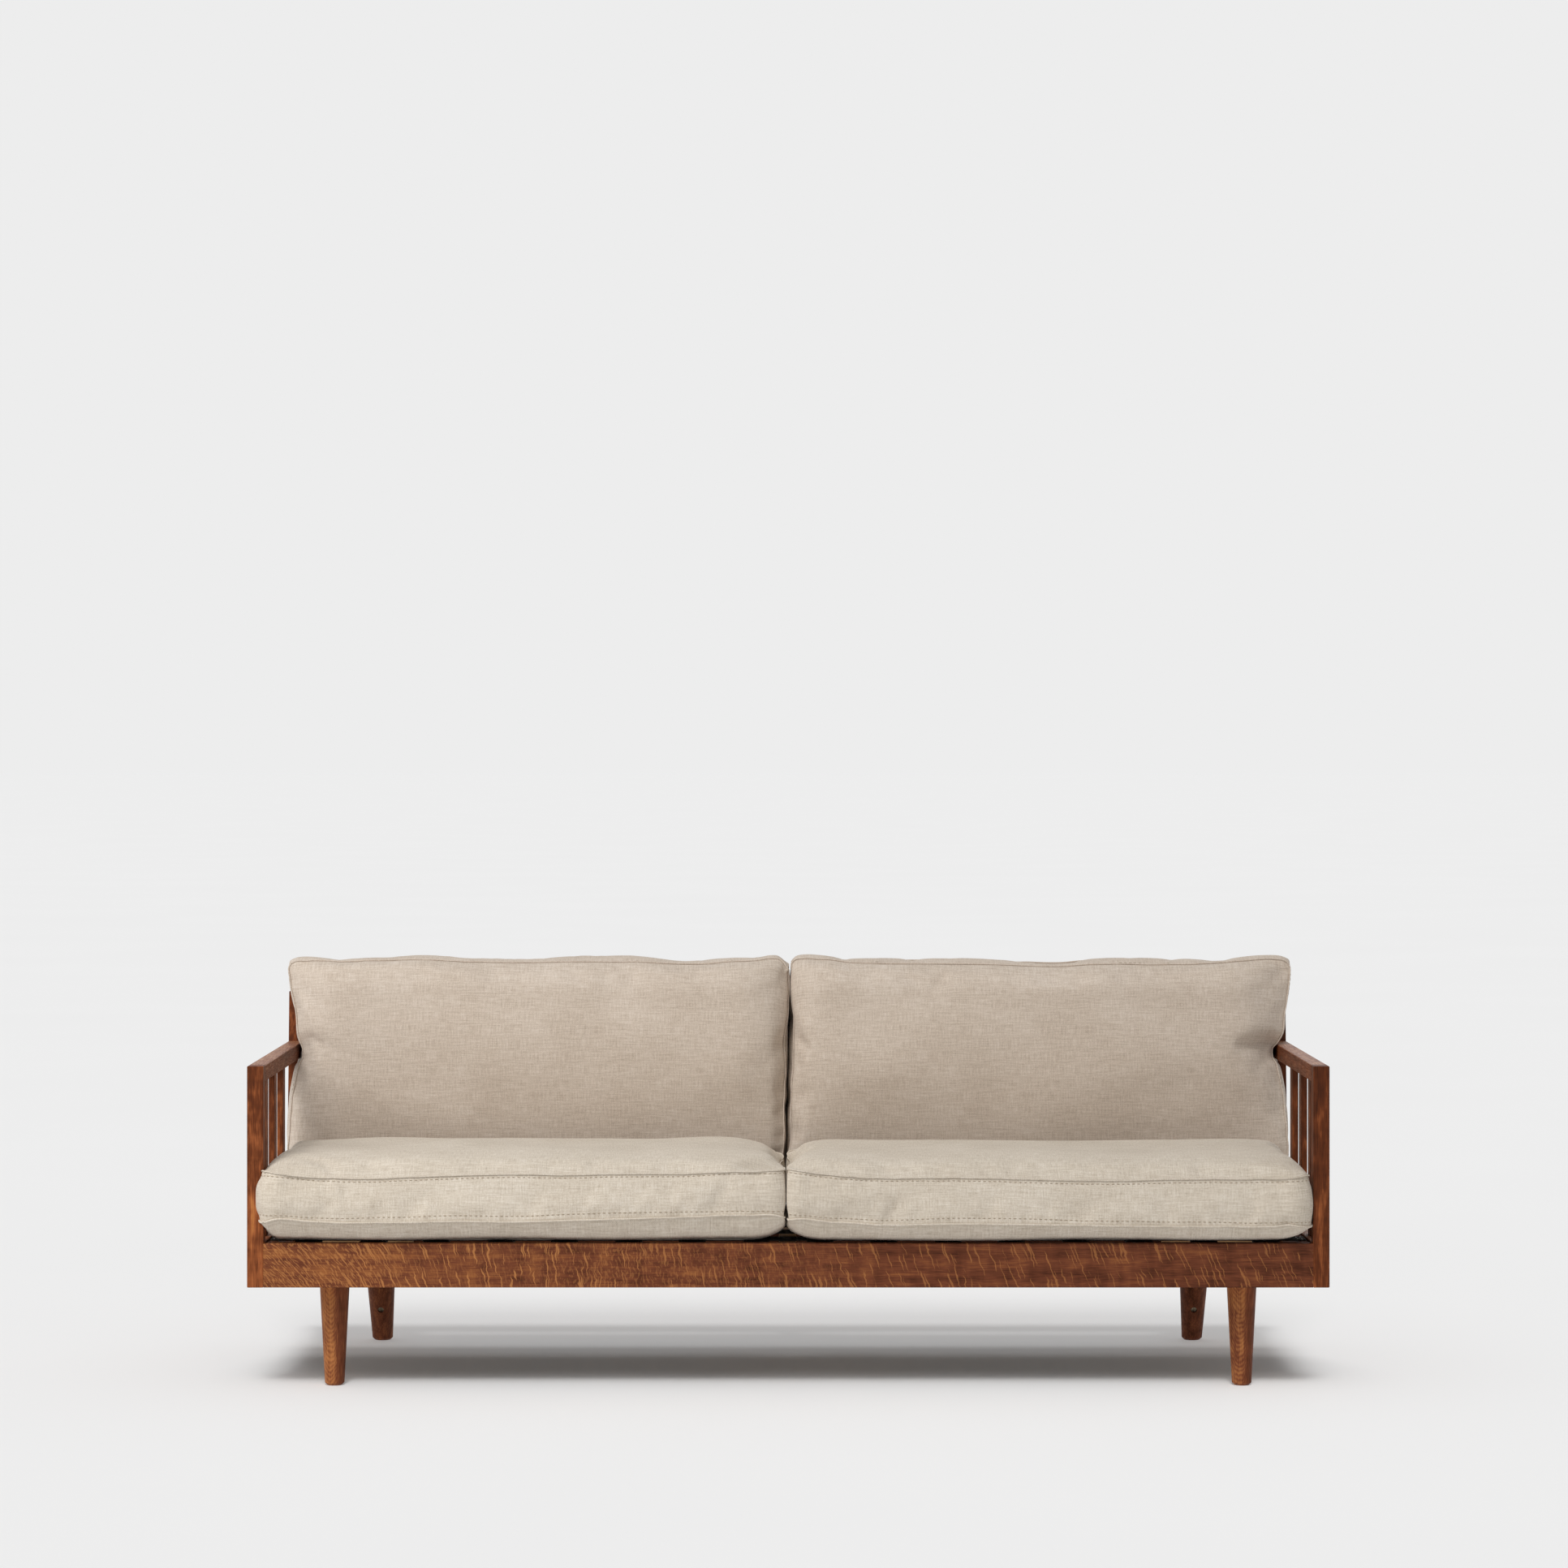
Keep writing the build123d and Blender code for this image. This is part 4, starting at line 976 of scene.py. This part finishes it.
for side, word, span, seed, contour, creases in (
    (-1, "left", (-0.984, 0.018), 47, LEFT_CONTOUR, LEFT_CREASES),
    (1, "right", (-0.018, 0.984), 83, RIGHT_CONTOUR, RIGHT_CREASES),
):
    body = f"{word}_back_cushion"
    back = BoxedCushion(span, (-0.333, 0.1600), (0.030, 0.112))
    shaped = keep_back_clear(pinch(back_shape(back, side, seed, contour, creases), side), side)
    piece = cover(f"{body}_cover", to_back(shaped), back, shaded_back_linen)
    last = back.counts[2]
    # what leans on the slats is held
    inflate(piece, back.ring(0) + back.ring(last), np.clip((0.004 - shaped[:, 2]) / 0.003, 0, 1))
    set_points(piece, to_back(keep_back_clear(from_back(points_of(piece)), side)))
    tuck(piece, back.ring(last - 1) + back.ring(1))
    refine(piece)
    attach(piece, body)
    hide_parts(body)
    sew(back, piece, body, lower_lip=LIP)


# Screws through the cleats, and staples at the ends of the straps


def fixing_marks(fixings):
    """Points for small fixings, from the place of each, the way it faces and the way it lies."""
    places, facing, lying = zip(*fixings)
    return marks("marks", places, [], {"facing": facing, "lying": lying})


def turned_marks(tree):
    """The turn of each mark, from the way it faces and the way it lies."""
    facing, lying = (
        add(tree, "GeometryNodeInputNamedAttribute", (label,), data_type="FLOAT_VECTOR")
        for label in ("facing", "lying")
    )
    up = add(tree, "FunctionNodeAlignRotationToVector", {"Vector": facing}, axis="Z")
    return add(
        tree, "FunctionNodeAlignRotationToVector", {"Rotation": up, "Vector": lying}, axis="X", pivot_axis="Z"
    )


# Pan-head screw: a low disc with a cross in it
screw_tree, given = lengths_tree(
    "screws", {"Head radius": 0.0042, "Head height": 0.0016, "Slot width": 0.0009, "Seed": 3}
)
head = add(
    screw_tree, "GeometryNodeMeshCylinder",
    {"Vertices": 14, "Radius": given["Head radius"], "Depth": given["Head height"]},
)
head = add(screw_tree, "GeometryNodeSetMaterial", {0: head, "Material": zinc})
slot_height, slot_length = (
    add(screw_tree, MATH, (given[label], times), operation="MULTIPLY")
    for label, times in (("Head height", 1.04), ("Head radius", 1.2))
)
screw = add(screw_tree, "GeometryNodeJoinGeometry", (head,))
# the cross's two bars take the darker steel: painted shade in the screw's slots
for sizes in ((slot_length, given["Slot width"]), (given["Slot width"], slot_length)):
    shape = add(screw_tree, "ShaderNodeCombineXYZ", (*sizes, slot_height))
    bar = add(screw_tree, "GeometryNodeMeshCube", (shape,))
    bar = add(screw_tree, "GeometryNodeSetMaterial", {0: bar, "Material": shade_steel})
    screw_tree.links.new(bar.outputs[0], screw.inputs[0])
spin = add(
    screw_tree, "FunctionNodeRandomValue", {2: 0.0, 3: math.tau, "Seed": given["Seed"]}, data_type="FLOAT"
).outputs[1]
spin = add(screw_tree, "FunctionNodeAxisAngleToRotation", ((0, 0, 1), spin))
turn = add(
    screw_tree, "FunctionNodeRotateRotation", (turned_marks(screw_tree), spin), rotation_space="LOCAL"
)
screws = add(screw_tree, "GeometryNodeInstanceOnPoints", {0: given[0], 2: screw, "Rotation": turn})
screws = add(screw_tree, "GeometryNodeRealizeInstances", (screws,))
add(screw_tree, "NodeGroupOutput", (screws,))

# Staple: its crown, pressed into the strap
staple_tree, given = lengths_tree(
    "staples", {"Crown length": 0.0115, "Wire width": 0.0013, "Wire height": 0.0008}
)
shape = add(
    staple_tree, "ShaderNodeCombineXYZ", (given["Crown length"], given["Wire width"], given["Wire height"])
)
wire = add(staple_tree, "GeometryNodeMeshCube", (shape,))
staples = add(
    staple_tree, "GeometryNodeInstanceOnPoints", {0: given[0], 2: wire, "Rotation": turned_marks(staple_tree)}
)
end_tree(staple_tree, staples, zinc)

fixings = []
for node, facing, count in (
    ("front_cleat", (0, 1, 0), 10), ("rear_cleat", (0, -1, 0), 10),
    ("left_side_cleat", (1, 0, 0), 4), ("right_side_cleat", (-1, 0, 0), 4),
):
    low, high = (np.array(corner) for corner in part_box(node))
    middle = (low + high) / 2 + np.array(facing, float) * (high - low) / 2
    along = np.array((0.0, 1.0, 0.0)) if facing[0] else np.array((1.0, 0.0, 0.0))
    # the outer screws are 45 mm from the cleat's ends
    reach = float((high - low) @ along) / 2 - 0.045
    for share in np.linspace(-1, 1, count):
        fixings.append((tuple(middle + along * reach * share), facing, (0, 0, 1)))
joined("cleat_screws", [grow(fixing_marks(fixings), screw_tree)], "frame")

bpy.context.view_layer.update()
fixings = []
for node, rows, across, along, lying in (
    ("webbing_lengthwise", STRAP_ROWS, 1, 0, (0, 1, 0)),
    ("webbing_crosswise", STRAP_COLUMNS, 0, 1, (1, 0, 0)),
):
    low, high = (np.array(corner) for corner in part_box(node))
    for row in rows:
        for end, inward in ((low[along], 1), (high[along], -1)):
            for aside in (-0.014, 0.014):
                for back_from_end in (0.007, 0.015):
                    # each staple lies where a line straight down meets the strap
                    start = [0.0, 0.0, 1.0]
                    start[across] = row + aside
                    start[along] = end + inward * back_from_end
                    hit, place, _, _ = nodes[node].ray_cast(start, (0, 0, -1))
                    if hit:
                        fixings.append((tuple(place), (0, 0, 1), lying))
joined("strap_staples", [grow(fixing_marks(fixings), staple_tree)], "frame")


# Floor, light and camera

mesh = bpy.data.meshes.new("studio_floor")
mesh.from_pydata([(-60, -40, 0), (60, -40, 0), (60, 160, 0), (-60, 160, 0)], [], [(0, 1, 2, 3)])
floor = linked("studio_floor", mesh)
floor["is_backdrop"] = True
# Floor paper: matt and white, with the faintest clouding
floor_material, tree = new_material("floor_paper")
place = add(tree, "ShaderNodeTexCoord").outputs["Object"]
speck = add(tree, NOISE, {"Vector": place, "Scale": 0.8})
white = add(tree, RAMP, (speck,), stops=((0.3, "#ededed"), (0.7, "#eeeeee")))
mesh.materials.append(
    end_material(floor_material, {"Base Color": white, "Roughness": 1.0, "Specular IOR Level": 0.0})
)

# The world lights softly, and shows a pale wall to the camera and in what is shiny
world = bpy.data.worlds.new("studio")
bpy.context.scene.world = world
world.use_nodes = True
tree = world.node_tree
tree.nodes.clear()
seen = add(tree, "ShaderNodeLightPath").outputs
shows = seen["Is Camera Ray"]
for ray in ("Is Glossy Ray", "Is Transmission Ray"):
    shows = add(tree, MATH, (shows, seen[ray]), operation="MAXIMUM")
light = add(tree, "ShaderNodeBackground", {"Color": (1, 1, 1, 1), "Strength": 0.325})
wall = add(tree, "ShaderNodeBackground", {"Color": linear("#ededed"), "Strength": 1.0})
add(tree, "ShaderNodeOutputWorld", (add(tree, "ShaderNodeMixShader", (shows, light, wall)),))


def lamp(name, kind, towards, strength, place=(0, 0, 0), blocked_by=None, lights_only=None, **sizes):
    """A soft lamp. blocked_by and lights_only limit it to some pieces, as flags and screens do."""
    data = bpy.data.lights.new(name, kind)
    data.energy = strength
    for size, value in sizes.items():
        setattr(data, size, value)
    made = linked(name, data)
    made.location = place
    made.rotation_mode = "QUATERNION"
    made.rotation_quaternion = Vector(towards).to_track_quat("-Z", "Y")
    for kept, use in ((blocked_by, "blocker_collection"), (lights_only, "receiver_collection")):
        if kept is not None:
            group = bpy.data.collections.new(f"{name}_{use}")
            for piece in kept:
                group.objects.link(piece)
            setattr(made.light_linking, use, group)


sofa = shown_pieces()
# what stands at the sofa's ends and behind it doesn't shade the floor
ends = ("post", "arm", "side_rail", "back_slats", "back_top", "back_lower")
middle = [p for p in sofa if not any(word in p.name for word in ends)]
deck = [p for p in middle if "back_cushion" not in p.name and "webbing" not in p.name]
backs = [p for p in sofa if "back_cushion" in p.name]
rear = backs + [p for p in sofa if p.name.startswith("rear_")]
# on the floor two front lamps draw the long shadow under the seat and its soft far side, two rear lamps
# that the back cushions stop deepen it, and a faint lamp that nothing stops lifts its darkest part. The
# sofa has its own lamps: a key from the upper left, one from behind, and a panel near its left end
for name, towards, strength, angle, blockers, lit in (
    ("front_strip", (0.03, 0.81, -1.0), 0.86, 12, deck, [floor]),
    ("front_softbox", (0.03, 0.70, -1.0), 0.67, 21, middle, [floor]),
    ("floor_fill", (0.0, 0.0, -1.0), 0.10, 20, [floor], [floor]),
    ("rear_strip", (0.03, -0.52, -1.0), 0.34, 14, backs, [floor]),
    ("rear_softbox", (0.03, -0.52, -1.0), 0.56, 19, rear, [floor]),
    ("key_softbox", (0.33, 0.55, -1.0), 1.42, 20, None, sofa),
    ("back_softbox", (-0.3, -0.80, -0.6), 0.35, 20, None, sofa),
):
    lamp(name, "SUN", towards, strength, angle=math.radians(angle), blocked_by=blockers, lights_only=lit)
lamp("left_panel", "AREA", (1.3, 1.8, -1.6), 33.0, place=(-2.2, -2.1, 2.0), lights_only=sofa, size=1.4)

lens = bpy.data.cameras.new("photograph")
lens.sensor_width, lens.lens = 36, 96.95
lens.shift_x, lens.shift_y = 0.0053, -0.0254
lens.clip_start, lens.clip_end = 0.1, 400
camera = linked("photograph", lens)
camera.location = (-0.0233, -8.1477, 1.196)
camera.rotation_euler = (math.radians(90), 0, 0)
bpy.context.scene.camera = camera
bpy.context.scene.view_settings.view_transform = "Standard"
